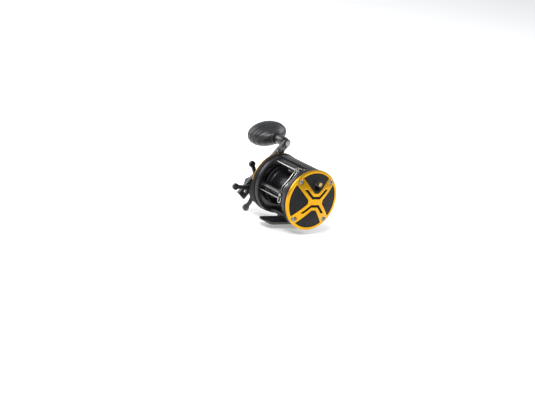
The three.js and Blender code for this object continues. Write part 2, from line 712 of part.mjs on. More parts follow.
function windows() {
  const upperApex = [[-WINDOW_APEX_HALF, WINDOW_APEX], [WINDOW_APEX_HALF, WINDOW_APEX]];
  const upper = arcTo(upperApex, coverInR, ARM_HIGH, 180 - ARM_HIGH);
  const rearApex = [[SIDE_APEX, SIDE_APEX_HALF], [SIDE_APEX, -SIDE_APEX_HALF]];
  const rear = arcTo(rearApex, coverInR, -ARM_LOW, ARM_LOW);
  const chevron = [
    [-CHEVRON_LOW_HALF, CHEVRON_LOW], [CHEVRON_LOW_HALF, CHEVRON_LOW], [CHEVRON_END_OUT, CHEVRON_END],
    [CHEVRON_END_IN, CHEVRON_END], [CHEVRON_HIGH_HALF, CHEVRON_HIGH], [-CHEVRON_HIGH_HALF, CHEVRON_HIGH],
    [-CHEVRON_END_IN, CHEVRON_END], [-CHEVRON_END_OUT, CHEVRON_END],
  ];
  const turn = (outline) => outline.map(([y, z]) => [-y, -z]);
  return [upper, turn(upper), rear, turn(rear), chevron, turn(chevron)];
}

// An outline moved inwards by `gap` on every side.
function shrunk(outline, gap) {
  const corners = outline.map(([y, z]) => new THREE.Vector2(y, z));
  const count = corners.length;
  const turn = Math.sign(THREE.ShapeUtils.area(corners));
  return corners.map((here, i) => {
    const into = here.clone().sub(corners[(i + count - 1) % count]).normalize();
    const away = corners[(i + 1) % count].clone().sub(here).normalize();
    const inward = new THREE.Vector2(-into.y - away.y, into.x + away.x).normalize();
    const reach = gap / Math.max(0.5, inward.dot(new THREE.Vector2(-into.y, into.x)));
    return [here.x + turn * inward.x * reach, here.y + turn * inward.y * reach];
  });
}

// The panel's raised pad that fills one window of the cover, just below the cover's face.
function flushPanel(outline) {
  const face = turned([[rimBack, 0], [rimBack, coverInR], ...domeProfile(PANEL_INSET)]);
  return face.intersect(slab(shrunk(outline, GAP), rimBack - CUT, faceX + DOME_H + CUT));
}

function tailCover() {
  const inner = outerR - RIM_WALL;
  let solid = turned([
    [rimBack, outerR], [faceX - RIM_INSET, outerR], [faceX, outerR - RIM_INSET], ...domeProfile(0),
    ...domeProfile(COVER_T).reverse(), [faceX - COVER_T, inner], [rimBack, inner],
  ]);
  for (const outline of windows()) {
    solid = solid.subtract(slab(outline, plateIn, faceX + DOME_H + CUT));
  }
  solid = drillScrews(solid, 1, SCREW_HEAD_R + GAP, faceX, faceX + DOME_H);
  return drillScrews(solid, 1, SCREW_R + GAP, plateIn, faceX + CUT);
}

function sideScrew(side) {
  const seat = faceX + GAP;
  const shank = rod(SCREW_R, side * (ringOut - SCREW_BITE + GAP), side * (seat + CUT), COARSE);
  const head = rod(SCREW_HEAD_R, side * seat, side * (seat + SCREW_HEAD_T), SMOOTH);
  const reach = SCREW_HEAD_R + CUT;
  const slot = block(-SLOT_DEPTH, SLOT_DEPTH, -reach, reach, -SLOT_HALF, SLOT_HALF);
  return shank.add(head).subtract(slot.translate([side * (seat + SCREW_HEAD_T), 0, 0]));
}

place(reel, 'tail_plate', 'panel', tailPlate());
place(reel, 'tail_cover', 'gold', tailCover());
screwPlaces(1).forEach(([y, z], i) => place(reel, `tail_screw_${i + 1}`, 'steel', sideScrew(1), [0, y, z]));

const tongueX = trainGearX + TRAIN_GEAR_T + 2 * GAP;
const buttonX = buttonFloor + GAP;
place(reel, 'clicker_button', 'black', rod(BUTTON_STEM_R, tongueX, buttonX + CUT, COARSE)
  .add(rod(BUTTON_R, buttonX, buttonX + BUTTON_LENGTH)), [0, 0, CLICK_Z]);
const tongueLow = CLICK_GEAR_R + CLICK_TRAVEL + RUN - CLICK_Z;
const tongueOutline = [
  [-TONGUE_HALF, TONGUE_HEAD], [-TONGUE_HALF, tongueLow + TONGUE_TAPER],
  [-TONGUE_TIP, tongueLow], [TONGUE_TIP, tongueLow],
  [TONGUE_HALF, tongueLow + TONGUE_TAPER], [TONGUE_HALF, TONGUE_HEAD],
];
place(reel, 'clicker_tongue', 'steel', bored(slab(tongueOutline, tongueX, tongueX + TONGUE_T),
  BUTTON_STEM_R + GAP, tongueX, tongueX + TONGUE_T, COARSE), [0, 0, CLICK_Z]);

// ---- Spool and its shaft ----
function spool() {
  const inner = ringIn - SPOOL_CLEAR;
  const outer = inner + FLANGE_T;
  const half = [
    [outer, SHAFT_R + GAP], [outer, FLANGE_R - FLANGE_EDGE], [outer - FLANGE_EDGE, FLANGE_R],
    [inner + FLANGE_EDGE, FLANGE_R], [inner, FLANGE_R - FLANGE_EDGE],
    [inner - FLANGE_TAPER, ARBOR_R + FLANGE_ROOT], [inner - FLANGE_TAPER - FLANGE_ROOT, ARBOR_R],
  ];
  return turned([...half, ...half.map(([x, r]) => [-x, r]).reverse()]);
}

const bearingTail = plateIn + TRAIN_DEPTH + GAP;
const bearingTailEnd = bearingTail + TAIL_BEARING_T;
const noseStart = plateIn + NOSE_START;
const headBearingX = pinionEnd + YOKE_SHIFT + 2 * GAP;
const headBearingEnd = headBearingX + HEAD_BEARING_T;
place(reel, 'spool', 'black', spool());
place(reel, 'spool_shaft', 'steel', rod(SHAFT_R, -noseStart, bearingTailEnd)
  .add(rod(NOSE_R, -headBearingEnd, -noseStart + CUT)));
place(reel, 'tail_bearing', 'steel', ring(TAIL_BEARING_R, SHAFT_R + GAP, bearingTail, bearingTailEnd));
place(reel, 'head_bearing', 'steel', ring(HEAD_BEARING_R, NOSE_R + GAP, -headBearingX, -headBearingEnd));
place(reel, 'click_gear', 'brass', bored(slab(ratchetOutline(CLICK_TEETH, CLICK_GEAR_R, CLICK_GEAR_ROOT),
  tongueX, tongueX + TONGUE_T), SHAFT_R + GAP, tongueX, tongueX + TONGUE_T));

// ---- Level-wind train ----
function trainGear(teeth, phase, bore) {
  const solid = slab(gearOutline(teeth, trainModule, phase), trainGearX, trainGearX + TRAIN_GEAR_T);
  return bored(solid, bore, trainGearX, trainGearX + TRAIN_GEAR_T);
}

const idlerPlace = [0, idlerCentre * Math.cos(trainAngle), idlerCentre * Math.sin(trainAngle)];
const studBack = trainGearX + TRAIN_GEAR_T + GAP;
place(reel, 'spool_gear', 'brass', trainGear(SPOOL_TEETH, trainAngle, SHAFT_R + GAP));
place(reel, 'idler_gear', 'black', trainGear(IDLER_TEETH, facing(trainAngle, IDLER_TEETH), STUD_R + GAP),
  idlerPlace);
place(reel, 'idler_stud', 'steel', rod(STUD_R, trainGearX, plateIn + TRAIN_DEPTH + STUD_SEAT - GAP, COARSE)
  .add(rod(STUD_SHOULDER_R, studBack, plateIn + TRAIN_DEPTH - GAP)), idlerPlace);
place(worm, 'worm_gear', 'brass', trainGear(WORM_TEETH, facing(trainAngle, WORM_TEETH), WORM_END_R + GAP));

// ---- Level wind ----
const webIn = ringIn + WEB_SETBACK;
const bushIn = webIn + GAP;
const bushR = WORM_END_R + GAP + BUSH_WALL;
const tubeHalf = webIn - GAP;

function wormTube() {
  const slotHalf = carriageX + PAWL_R + RUN;
  const tube = ring(TUBE_R, TUBE_R - TUBE_WALL, -tubeHalf, tubeHalf);
  return tube.subtract(block(-slotHalf, slotHalf, -TUBE_R - CUT, -CUT, -TUBE_SLOT / 2, TUBE_SLOT / 2));
}

function carriage() {
  const half = CARRIAGE_WIDTH / 2;
  const bore = TUBE_R + GAP;
  let solid = rod(bore + CARRIAGE_WALL, -half, half);
  solid = solid.add(block(-half, half, -carriageFront, 0, -CARRIAGE_HALF_Z, CARRIAGE_HALF_Z));
  solid = bored(solid, bore, -half, half);
  const [barY, barZ] = [-GUIDE_BAR_AHEAD, -GUIDE_BAR_DROP];
  solid = solid.subtract(rod(GUIDE_BAR_R + RUN, -half - CUT, half + CUT, COARSE, barY, barZ));
  solid = solid.subtract(crosswise(PAWL_R + GAP, 0, 0, -carriageFront - CUT, -TUBE_R));
  for (const x of [-WIRE_SPREAD, WIRE_SPREAD]) {
    solid = solid.subtract(upright(WIRE_R + GAP, x, 0, CARRIAGE_HALF_Z - WIRE_SEAT, CARRIAGE_HALF_Z + CUT)
      .translate([0, -carriageFront + WIRE_INSET, 0]));
  }
  return solid;
}

// One guide wire: up out of the carriage, back over the top bar and bent down behind it.
function guideWire() {
  const y = -carriageFront + WIRE_INSET;
  const barTop = [topBar[0] - wormY, topBar[1] - WORM_Z];
  const over = TOP_BAR_R + WIRE_R + WIRE_OVER;
  return wire([
    [0, y, CARRIAGE_HALF_Z - WIRE_SEAT + GAP], [0, y, CARRIAGE_HALF_Z + 1], [0, y + 2, CARRIAGE_HALF_Z + 5],
    [0, (y + barTop[0]) / 2 - 1.2, barTop[1] / 2 + 4], [0, barTop[0] - over - 1, barTop[1] - 1.5],
    [0, barTop[0] - over * 0.6, barTop[1] + over * 0.9], [0, barTop[0] + over * 0.7, barTop[1] + over],
    [0, barTop[0] + over + 0.9, barTop[1] + 0.6],
  ], WIRE_R, WIRE_STEPS);
}

// The loop below the carriage that keeps the line from slipping under it.
function lowerLoop() {
  const low = -CARRIAGE_HALF_Z - LEG_DROP;
  const front = -carriageFront - GAP - WIRE_R;
  const s = WIRE_SPREAD;
  const mid = -PAWL_CAP_R - GAP - WIRE_R;
  return wire([
    [-s, front, mid], [-s, front, low + LOOP_BEND], [-s + LOOP_BEND, front, low],
    [s - LOOP_BEND, front, low], [s, front, low + LOOP_BEND], [s, front, mid],
  ], WIRE_R, LOOP_STEPS);
}

place(worm, 'worm_shaft', 'steel', rod(wormR, -webIn + CUT, webIn - CUT)
  .add(rod(WORM_END_R, -ringOut, trainGearX + TRAIN_GEAR_T)));
place(worm, 'worm_tube', 'graphite', wormTube());
place(worm, 'worm_bush_head', 'brass', ring(bushR, WORM_END_R + GAP, -bushIn, -ringOut));
place(worm, 'worm_bush_tail', 'brass', ring(bushR, WORM_END_R + GAP, bushIn, ringOut));
place(worm, 'line_guide_carriage', 'graphite', carriage(), [carriageX, 0, 0]);
place(worm, 'level_wind_pawl', 'steel', crosswise(PAWL_R, 0, 0, -carriageFront + GAP, -wormR - GAP),
  [carriageX, 0, 0]);
place(worm, 'pawl_cap', 'chrome', crosswise(PAWL_CAP_R, 0, 0, -carriageFront - GAP - PAWL_CAP_T,
  -carriageFront - GAP, SMOOTH), [carriageX, 0, 0]);
place(worm, 'guide_wire_head', 'chrome', guideWire(), [carriageX - WIRE_SPREAD, 0, 0]);
place(worm, 'guide_wire_tail', 'chrome', guideWire(), [carriageX + WIRE_SPREAD, 0, 0]);
place(worm, 'lower_wire_loop', 'chrome', lowerLoop(), [carriageX, 0, 0]);
const barHalf = ringIn + BAR_SEAT - GAP;
place(reel, 'guide_bar', 'steel', rod(GUIDE_BAR_R, -barHalf, barHalf, COARSE), [0, guideBarY, guideBarZ]);
place(reel, 'top_bar', 'chrome', rod(TOP_BAR_R, -barHalf, barHalf, SMOOTH), [0, ...topBar]);

// ---- Handle side ----
const leverIn = plateIn + GAP;
const leverOut = leverIn + LEVER_T;
const bridgeX = leverOut + GAP;
const bridgeOut = bridgeX + BRIDGE_PLATE_T;
const yokeX = bridgeOut + RUN;
const yokeOut = yokeX + YOKE_T;
const gearOut = gearFace + GEAR_T;
const washerX = gearOut + GAP;
const spacerX = washerX + 2 * (WASHER_T + GAP);
const housingFloor = housingX - HOUSING_FACE_T;
const lobeEnd = headBearingEnd + GAP;
const capEnd = lobeEnd + GAP + CAP_T;
const starHubX = Math.max(housingX, capEnd) + STAR_CLEAR;
const yokeTurn = DRIVE_ANGLE + 90;

function headPlate() {
  const seat = headRimBack - GAP / 2;
  const face = faceX - GAP * 2;
  let solid = turned([
    [-plateIn, 0], [-plateIn, plateR], [-seat, plateR], [-seat, coverInR - GAP], [-face, coverInR - GAP],
    [-face, 0],
  ]);
  const [from, to] = [RING_OPEN_FROM + RING_OPEN_CLEAR, RING_OPEN_TO - RING_OPEN_CLEAR];
  solid = solid.add(slab(sector(coverInR - CUT, plateR, from, to), -seat + CUT, -faceX));
  const housing = turned([
    [-plateIn, 0], [-plateIn, housingR], [-housingX + HOUSING_CHAMFER, housingR],
    [-housingX, housingR - HOUSING_CHAMFER], [-housingX, 0],
  ]);
  solid = solid.add(housing.translate([0, driveY, driveZ]));
  solid = solid.add(rod(PINION_LOBE_R, -plateIn, -lobeEnd));
  const yokeEnds = [-1, 1].map((end) => polar(end * (YOKE_REACH - YOKE_ROUND), yokeTurn));
  const yokeFloor = yokeOut + YOKE_SHIFT + YOKE_DEPTH;
  const yokeLobe = YOKE_HALF + YOKE_ROUND + YOKE_HOUSING_WALL;
  solid = solid.add(roundSlot(...yokeEnds, yokeLobe, -plateIn, -yokeFloor - YOKE_HOUSING_WALL));
  const pocket = -bridgeX + GAP;
  solid = solid.subtract(rod(gearRoomR, pocket, -housingFloor, FINE, driveY, driveZ));
  solid = solid.subtract(rod(SPACER_R + GAP, -housingFloor + CUT, -housingX - CUT, MEDIUM, driveY, driveZ));
  solid = solid.subtract(rod(PINION_ROOM_R, pocket, -pinionEnd - YOKE_SHIFT - GAP));
  solid = solid.subtract(rod(HEAD_BEARING_R + GAP, pocket, -lobeEnd - CUT));
  const [reach, half] = [YOKE_REACH + GAP, YOKE_HALF + GAP];
  const yokeRoom = block(-yokeFloor, pocket, -reach, reach, -half, half);
  solid = solid.subtract(yokeRoom.rotate([yokeTurn, 0, 0]));
  solid = solid.subtract(rod(BRIDGE_PLATE_R + GAP, -plateIn + CUT, -bridgeOut - GAP, FINE));
  const swing = sector(1, outerR + CUT, LEVER_ANGLE - LEVER_SWING - 5, LEVER_ANGLE + 5);
  solid = solid.subtract(slab(swing, -leverIn + GAP + CUT, -leverOut - GAP));
  return drillScrews(solid, -1, SCREW_R + GAP, plateIn - CUT, faceX + CUT);
}

// The plate inside the housing that carries the gear post, the yoke's posts and the dog.
function gearBridge() {
  let solid = rod(BRIDGE_PLATE_R, -bridgeX, -bridgeOut, FINE);
  solid = bored(solid, CAM_R + RUN, -bridgeX, -bridgeOut);
  solid = solid.add(rod(POST_R, -bridgeX, -bridgeOut - POST_LENGTH, MEDIUM, driveY, driveZ));
  for (const side of [-1, 1]) {
    const [y, z] = polar(side * YOKE_POST, yokeTurn);
    solid = solid.add(rod(YOKE_POST_R, -bridgeX, -yokeOut - YOKE_SHIFT - YOKE_POST_END, COARSE, y, z));
  }
  const [pivotY, pivotZ] = polar(dogPivotR, DOG_PIVOT_ANGLE);
  const pinPlace = [driveY + pivotY, driveZ + pivotZ];
  return solid.add(rod(DOG_PIN_R, -bridgeX, -yokeX - RATCHET_T - GAP, COARSE, ...pinPlace));
}

function headRing() {
  let solid = turned([
    [-headRimBack, coverInR], [-headRimBack, outerR], [-faceX + RIM_INSET, outerR],
    [-faceX, outerR - RIM_INSET],
    [-faceX, coverInR],
  ]);
  const gap = sector(coverInR - CUT, outerR + CUT, RING_OPEN_FROM, RING_OPEN_TO);
  solid = solid.subtract(slab(gap, -faceX - CUT, -headRimBack + CUT));
  return drillScrews(solid, -1, SCREW_R + GAP, plateIn, faceX + CUT);
}

// The lever's cam ring inside the plate, its arm out through the rim, and its thumb pad.
function freeSpoolLever() {
  const ringPart = ring(CAM_R, CAM_IN_R, -leverIn, -bridgeOut);
  const stalk = block(-leverOut, -leverIn, (CAM_R + CAM_IN_R) / 2, padR, -LEVER_HALF, LEVER_HALF);
  const pad = turned([
    [-PAD_Z / 2, 0], [-PAD_Z / 2, PAD_X / 2 - PAD_EDGE], [0, PAD_X / 2], [PAD_Z / 2, PAD_X / 2 - PAD_EDGE],
    [PAD_Z / 2, 0],
  ], SMOOTH).rotate([0, 0, 90]).scale([1, 1, PAD_Y / PAD_X]);
  const middle = -(leverIn + leverOut) / 2;
  const arm = stalk.add(pad.translate([middle, padR, 0]));
  return ringPart.add(arm.rotate([LEVER_ANGLE, 0, 0]));
}

function yoke() {
  let solid = block(-yokeOut, -yokeX, -YOKE_REACH, YOKE_REACH, -YOKE_HALF, YOKE_HALF);
  solid = bored(solid, PINION_GROOVE_R + GAP, -yokeX, -yokeOut);
  const mouth = PINION_GROOVE_R + GAP;
  solid = solid.subtract(block(-yokeOut - CUT, -yokeX + CUT, -mouth, mouth, 0, YOKE_HALF + CUT));
  for (const side of [-1, 1]) {
    solid = solid.subtract(rod(YOKE_POST_R + RUN, -yokeOut - CUT, -yokeX + CUT, COARSE, side * YOKE_POST, 0));
  }
  return solid.rotate([yokeTurn, 0, 0]);
}

function pinion() {
  const groove = [yokeX - GAP, yokeOut + GAP];
  let solid = rod(PINION_FLANGE_R, -noseStart - GAP, -groove[0]);
  solid = solid.add(rod(PINION_GROOVE_R, -groove[0] + OVERLAP, -groove[1] - OVERLAP));
  const phase = facing(driveAngle + Math.PI, PINION_TEETH);
  solid = solid.add(slab(gearOutline(PINION_TEETH, GEAR_MODULE, phase), -pinionEnd, -groove[1]));
  return bored(solid, NOSE_R + PINION_FIT, -noseStart, -pinionEnd, SMOOTH);
}

function yokeSpring() {
  const points = [];
  const top = yokeOut + GAP + SPRING_WIRE;
  const length = YOKE_SHIFT + SPRING_PRESSED;
  const steps = SPRING_TURNS * SPRING_STEPS;
  for (let i = 0; i <= steps; i += 1) {
    const [y, z] = polar(SPRING_R, 360 * SPRING_TURNS * i / steps);
    points.push([-top - length * i / steps, y, z]);
  }
  return wire(points, SPRING_WIRE, steps, SPRING_STEPS);
}

place(reel, 'head_plate', 'panel', headPlate());
place(reel, 'head_ring', 'gold', headRing());
screwPlaces(-1).forEach(([y, z], i) => place(reel, `head_screw_${i + 1}`, 'steel', sideScrew(-1), [0, y, z]));
place(reel, 'gear_bridge', 'steel', gearBridge());
place(reel, 'free_spool_lever', 'black', freeSpoolLever());
place(reel, 'yoke', 'brass', yoke());
place(reel, 'pinion', 'brass', pinion());
place(reel, 'yoke_spring_lower', 'steel', yokeSpring(), [0, ...polar(-YOKE_POST, yokeTurn)]);
place(reel, 'yoke_spring_upper', 'steel', yokeSpring(), [0, ...polar(YOKE_POST, yokeTurn)]);
place(reel, 'bearing_cap', 'black', rod(CAP_R, -lobeEnd - GAP, -capEnd));

// ---- Drive ----
const sleeveEnd = handleX + HANDLE_T + SLEEVE_STUB;

function sleeve() {
  const solid = rod(SLEEVE_R, -bridgeOut - GAP, -sleeveEnd);
  return solid.subtract(rod(POST_R + GAP, -bridgeOut + CUT, -bridgeOut - POST_LENGTH - GAP));
}

function dog() {
  const [pivot, tip] = [polar(dogPivotR, DOG_PIVOT_ANGLE), polar(RATCHET_R + RUN, DOG_TIP_ANGLE)];
  const out = [tip[0] - pivot[0], tip[1] - pivot[1]];
  const solid = slab([
    [-DOG_HALF, -DOG_HALF], [DOG_HALF, -DOG_HALF], [out[0] + DOG_TIP, out[1]], [out[0] - DOG_HALF, out[1]],
    [-DOG_HALF, DOG_HALF],
  ], -yokeX, -yokeX - RATCHET_T);
  const eye = rod(DOG_EYE_R, -yokeX, -yokeX - RATCHET_T, COARSE);
  return bored(solid.add(eye), DOG_PIN_R + GAP, -yokeX, -yokeX - RATCHET_T, COARSE);
}

function star() {
  let solid = rod(STAR_HUB_R, -starHubX, -starHubOut);
  for (let i = 0; i < STAR_ARMS; i += 1) {
    const [inner, outer] = [-starTipX + STAR_BOW, -starTipX - STAR_ARM_T];
    const tip = rod(STAR_TIP_R, inner, outer, MEDIUM, STAR_R - STAR_TIP_R, 0);
    solid = solid.add(armAlongY().add(tip).rotate([STAR_FIRST + i * 360 / STAR_ARMS, 0, 0]));
  }
  return bored(solid, SLEEVE_R + GAP, -starHubX, -starHubOut);
}

// One arm of the star along +y: it leans outboard towards its tip.
function armAlongY() {
  const low = STAR_HUB_R - CUT;
  const knee = STAR_R * STAR_KNEE;
  const end = STAR_R - STAR_TIP_R;
  const points = [
    [-starArmX, low], [-starArmX - STAR_BOW, knee], [-starTipX + STAR_BOW, end],
    [-starTipX - STAR_ARM_T, end], [-starArmX - STAR_ARM_T - STAR_BOW, knee],
    [-starArmX - STAR_ARM_T, low],
  ];
  const flat = new THREE.ExtrudeGeometry(shapeOf(points), { depth: 2 * STAR_ARM_HALF, bevelEnabled: false });
  flat.translate(0, 0, -STAR_ARM_HALF);
  return solidOf(flat);
}

function handleArm() {
  const side = [
    [-HANDLE_TAIL, HANDLE_HALF], [-HANDLE_HUB, HANDLE_HALF], [0, HANDLE_HUB], [HANDLE_HUB, HANDLE_HALF],
    [HANDLE_NECK, HANDLE_WAIST], [HANDLE_THROW - HANDLE_END_R, HANDLE_WAIST], [HANDLE_THROW, HANDLE_END_R],
  ];
  const end = arcTo([], HANDLE_END_R, -HANDLE_END_ARC, HANDLE_END_ARC).map(([y, z]) => [HANDLE_THROW + y, z]);
  const outline = [...side.map(([y, z]) => [y, -z]), ...end, ...side.reverse()];
  const [inner, outer] = [-handleX, -handleX - HANDLE_T];
  let solid = slab(outline, inner, outer);
  solid = bored(solid, SLEEVE_R + GAP, inner, outer);
  solid = solid.subtract(rod(HANDLE_HOLE_R, inner + CUT, outer - CUT, SMOOTH, -HANDLE_HOLE));
  return solid.subtract(rod(SPINDLE_R + GAP, inner + CUT, outer - CUT, SMOOTH, HANDLE_THROW));
}

const armOut = handleX + HANDLE_T;
const knobX = armOut + GAP + COLLAR_LENGTH;
const knobMiddle = knobX + KNOB_AXIAL;
const spindleEnd = knobX + KNOB_BORE;

function handleNut() {
  const nut = rod(NUT_R, -armOut - GAP, -armOut - GAP - NUT_T, 6);
  return nut.subtract(rod(SLEEVE_R + GAP, -armOut + CUT, -sleeveEnd - GAP));
}

function knobSpindle() {
  const rivet = rod(RIVET_R, -handleX + GAP, -handleX + GAP + RIVET_T, SMOOTH);
  return rivet.add(rod(SPINDLE_R, -handleX + CUT, -spindleEnd));
}

function knob() {
  const egg = new THREE.SphereGeometry(1, 28, 14);
  egg.scale(KNOB_AXIAL, KNOB_WIDE, KNOB_THIN);
  const leaning = solidOf(egg).rotate([KNOB_TILT - HANDLE_ANGLE, 0, 0]);
  const solid = leaning.translate([-knobMiddle - GAP, 0, 0]);
  return solid.subtract(rod(SPINDLE_R + RUN, -armOut, -spindleEnd - RUN));
}

place(drive, 'drive_sleeve', 'steel', sleeve());
const ratchet = slab(ratchetOutline(RATCHET_TEETH, RATCHET_R, RATCHET_ROOT), -yokeX, -yokeX - RATCHET_T);
place(drive, 'anti_reverse_ratchet', 'steel', bored(ratchet, SLEEVE_R + GAP, -yokeX, -yokeX - RATCHET_T));
place(drive, 'anti_reverse_dog', 'steel', dog(), [0, ...polar(dogPivotR, DOG_PIVOT_ANGLE)]);
place(drive, 'main_gear', 'brass', bored(slab(gearOutline(MAIN_TEETH, GEAR_MODULE, driveAngle + Math.PI),
  -gearFace, -gearOut), SLEEVE_R + GAP, -gearFace, -gearOut));
place(drive, 'carbon_drag_washer', 'carbon', ring(washerR, SLEEVE_R + GAP, -washerX, -washerX - WASHER_T));
const metalX = washerX + WASHER_T + GAP;
place(drive, 'metal_drag_washer', 'steel', ring(washerR - METAL_WASHER_IN, SLEEVE_R + GAP,
  -metalX, -metalX - WASHER_T));
place(drive, 'drag_spacer', 'brass', ring(SPACER_R, SLEEVE_R + GAP, -spacerX, -starHubX + GAP));
place(drive, 'star_drag', 'black', star());
place(arm, 'handle_arm', 'graphite', handleArm());
place(arm, 'handle_nut', 'black', handleNut());
place(arm, 'knob_spindle', 'rivet', knobSpindle(), [0, HANDLE_THROW, 0]);
place(arm, 'knob_collar', 'black', ring(COLLAR_R, SPINDLE_R + RUN, -armOut - GAP, -knobX),
  [0, HANDLE_THROW, 0]);
place(arm, 'handle_knob', 'grip', knob(), [0, HANDLE_THROW, 0]);

export default assembly;
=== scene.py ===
"""A level-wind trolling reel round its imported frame: finishes, detailed pieces, light and camera."""
import json
import math

import bmesh
import bpy
from mathutils import Matrix, Vector


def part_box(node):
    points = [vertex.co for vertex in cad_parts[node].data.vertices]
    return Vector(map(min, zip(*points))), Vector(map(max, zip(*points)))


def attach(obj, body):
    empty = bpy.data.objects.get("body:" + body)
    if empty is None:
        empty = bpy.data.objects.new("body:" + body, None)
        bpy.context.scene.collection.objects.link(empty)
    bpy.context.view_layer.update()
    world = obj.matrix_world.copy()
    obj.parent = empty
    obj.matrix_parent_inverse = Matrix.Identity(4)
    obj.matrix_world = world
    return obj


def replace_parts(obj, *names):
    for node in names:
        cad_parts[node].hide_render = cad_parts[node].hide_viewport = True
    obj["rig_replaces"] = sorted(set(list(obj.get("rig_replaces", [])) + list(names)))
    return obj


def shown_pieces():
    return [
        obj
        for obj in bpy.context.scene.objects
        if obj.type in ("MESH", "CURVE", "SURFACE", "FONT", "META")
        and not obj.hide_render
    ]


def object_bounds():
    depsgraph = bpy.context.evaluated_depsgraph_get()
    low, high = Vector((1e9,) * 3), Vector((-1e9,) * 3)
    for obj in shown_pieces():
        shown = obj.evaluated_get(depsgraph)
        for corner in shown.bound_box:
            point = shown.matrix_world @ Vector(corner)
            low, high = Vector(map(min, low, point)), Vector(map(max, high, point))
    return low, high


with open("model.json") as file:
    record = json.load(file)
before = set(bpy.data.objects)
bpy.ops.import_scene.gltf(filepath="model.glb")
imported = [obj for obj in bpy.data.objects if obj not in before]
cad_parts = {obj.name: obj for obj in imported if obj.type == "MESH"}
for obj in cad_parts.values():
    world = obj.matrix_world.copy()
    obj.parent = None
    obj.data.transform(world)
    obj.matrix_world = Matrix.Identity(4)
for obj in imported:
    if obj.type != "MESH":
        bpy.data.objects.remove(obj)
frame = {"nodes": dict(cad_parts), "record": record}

MM = 0.001
RECORD = frame["record"]
BODY_OF = {node: body for body, nodes in RECORD["behaviour"]["bodies"].items() for node in nodes}
SLOT_OF = {part["node"]: part["material_slot"] for part in RECORD["subparts"]}
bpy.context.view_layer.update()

# ---- Places from the frame, in metres ----
def middle(node):
    low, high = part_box(node)
    return (low + high) / 2


SPOOL = middle("spool")  # the spool axis passes through it
AXIS = Vector((0, SPOOL.y, SPOOL.z))
KNOB = middle("knob_spindle")
WORM = Vector((0, middle("worm_tube").y, middle("worm_tube").z))

# ---- Sizes in millimetres ----
PLATE_R = 38  # gold rings' outer radius
FACE_X = 37.5  # spool's middle to the gold rings' outer face
PLATE_IN = 31.3  # and to the side plates' inner face
RIM_T = 3.2  # tail cover's depth at its rim
COVER_T = 1.6  # gold cover's wall
COVER_IN_R = 34.6  # inner edge of the gold rings' flat face
DOME_H = 7  # rise of the cover's middle above its ring
PANEL_INSET = 0.5  # panels below the cover's face
RIM_WALL = 1.5
RIM_INSET = 0.4  # plate's rim inside the gold rim
GAP = 0.3  # between pieces that touch
RUN = 0.4  # round a piece that turns or slides


# ---- Meshes ----
def add_mesh(name, mesh):
    piece = bpy.data.objects.new(name, mesh)
    bpy.context.scene.collection.objects.link(piece)
    return piece


def mesh_of(name, points, faces):
    mesh = bpy.data.meshes.new(name)
    mesh.from_pydata([Vector(p) * MM for p in points], [], faces)
    mesh.validate()
    mesh.update()
    return add_mesh(name, mesh)


def turned(name, profile, steps=128, centre=AXIS):
    """A closed piece turned about x from a closed outline of (x, radius) points in millimetres."""
    points, faces, rows = [], [], []
    for x, r in profile:
        if r < 1e-6:
            points.append((x, 0, 0))
            rows.append([len(points) - 1] * steps)
            continue
        rows.append(list(range(len(points), len(points) + steps)))
        for i in range(steps):
            angle = 2 * math.pi * i / steps
            points.append((x, r * math.cos(angle), r * math.sin(angle)))
    for k, row in enumerate(rows):
        after = rows[(k + 1) % len(rows)]
        for i in range(steps):
            j = (i + 1) % steps
            corners = [row[i], row[j], after[j], after[i]]
            distinct = list(dict.fromkeys(corners))
            if len(distinct) > 2:
                faces.append(distinct)
    piece = mesh_of(name, points, faces)
    piece.data.transform(Matrix.Translation(centre))
    tidy(piece)
    return piece


def tidy(piece):
    """Merges doubled points and turns every face outwards."""
    work = bmesh.new()
    work.from_mesh(piece.data)
    bmesh.ops.remove_doubles(work, verts=work.verts, dist=1e-6)
    bmesh.ops.recalc_face_normals(work, faces=work.faces)
    work.to_mesh(piece.data)
    work.free()


def prism(name, outline, x0, x1, centre=AXIS):
    """A plate cut to an outline of (y, z) points, from x0 to x1, all in millimetres."""
    count = len(outline)
    points = [(x, y, z) for x in (x0, x1) for y, z in outline]
    faces = [list(range(count)), list(range(2 * count - 1, count - 1, -1))]
    faces += [[i, (i + 1) % count, count + (i + 1) % count, count + i] for i in range(count)]
    piece = mesh_of(name, points, faces)
    piece.data.transform(Matrix.Translation(centre))
    tidy(piece)
    return piece


def combine(piece, tools, operation="DIFFERENCE"):
    """Cuts the tools out of a piece, or joins them to it, and applies the result."""
    for tool in tools:
        modifier = piece.modifiers.new("cut", "BOOLEAN")
        modifier.operation = operation
        modifier.solver = "EXACT"
        modifier.object = tool
    apply_modifiers(piece)
    for tool in tools:
        bpy.data.objects.remove(tool)
    return piece


def apply_modifiers(piece):
    graph = bpy.context.evaluated_depsgraph_get()
    graph.update()
    mesh = bpy.data.meshes.new_from_object(piece.evaluated_get(graph))
    piece.modifiers.clear()
    piece.data = mesh


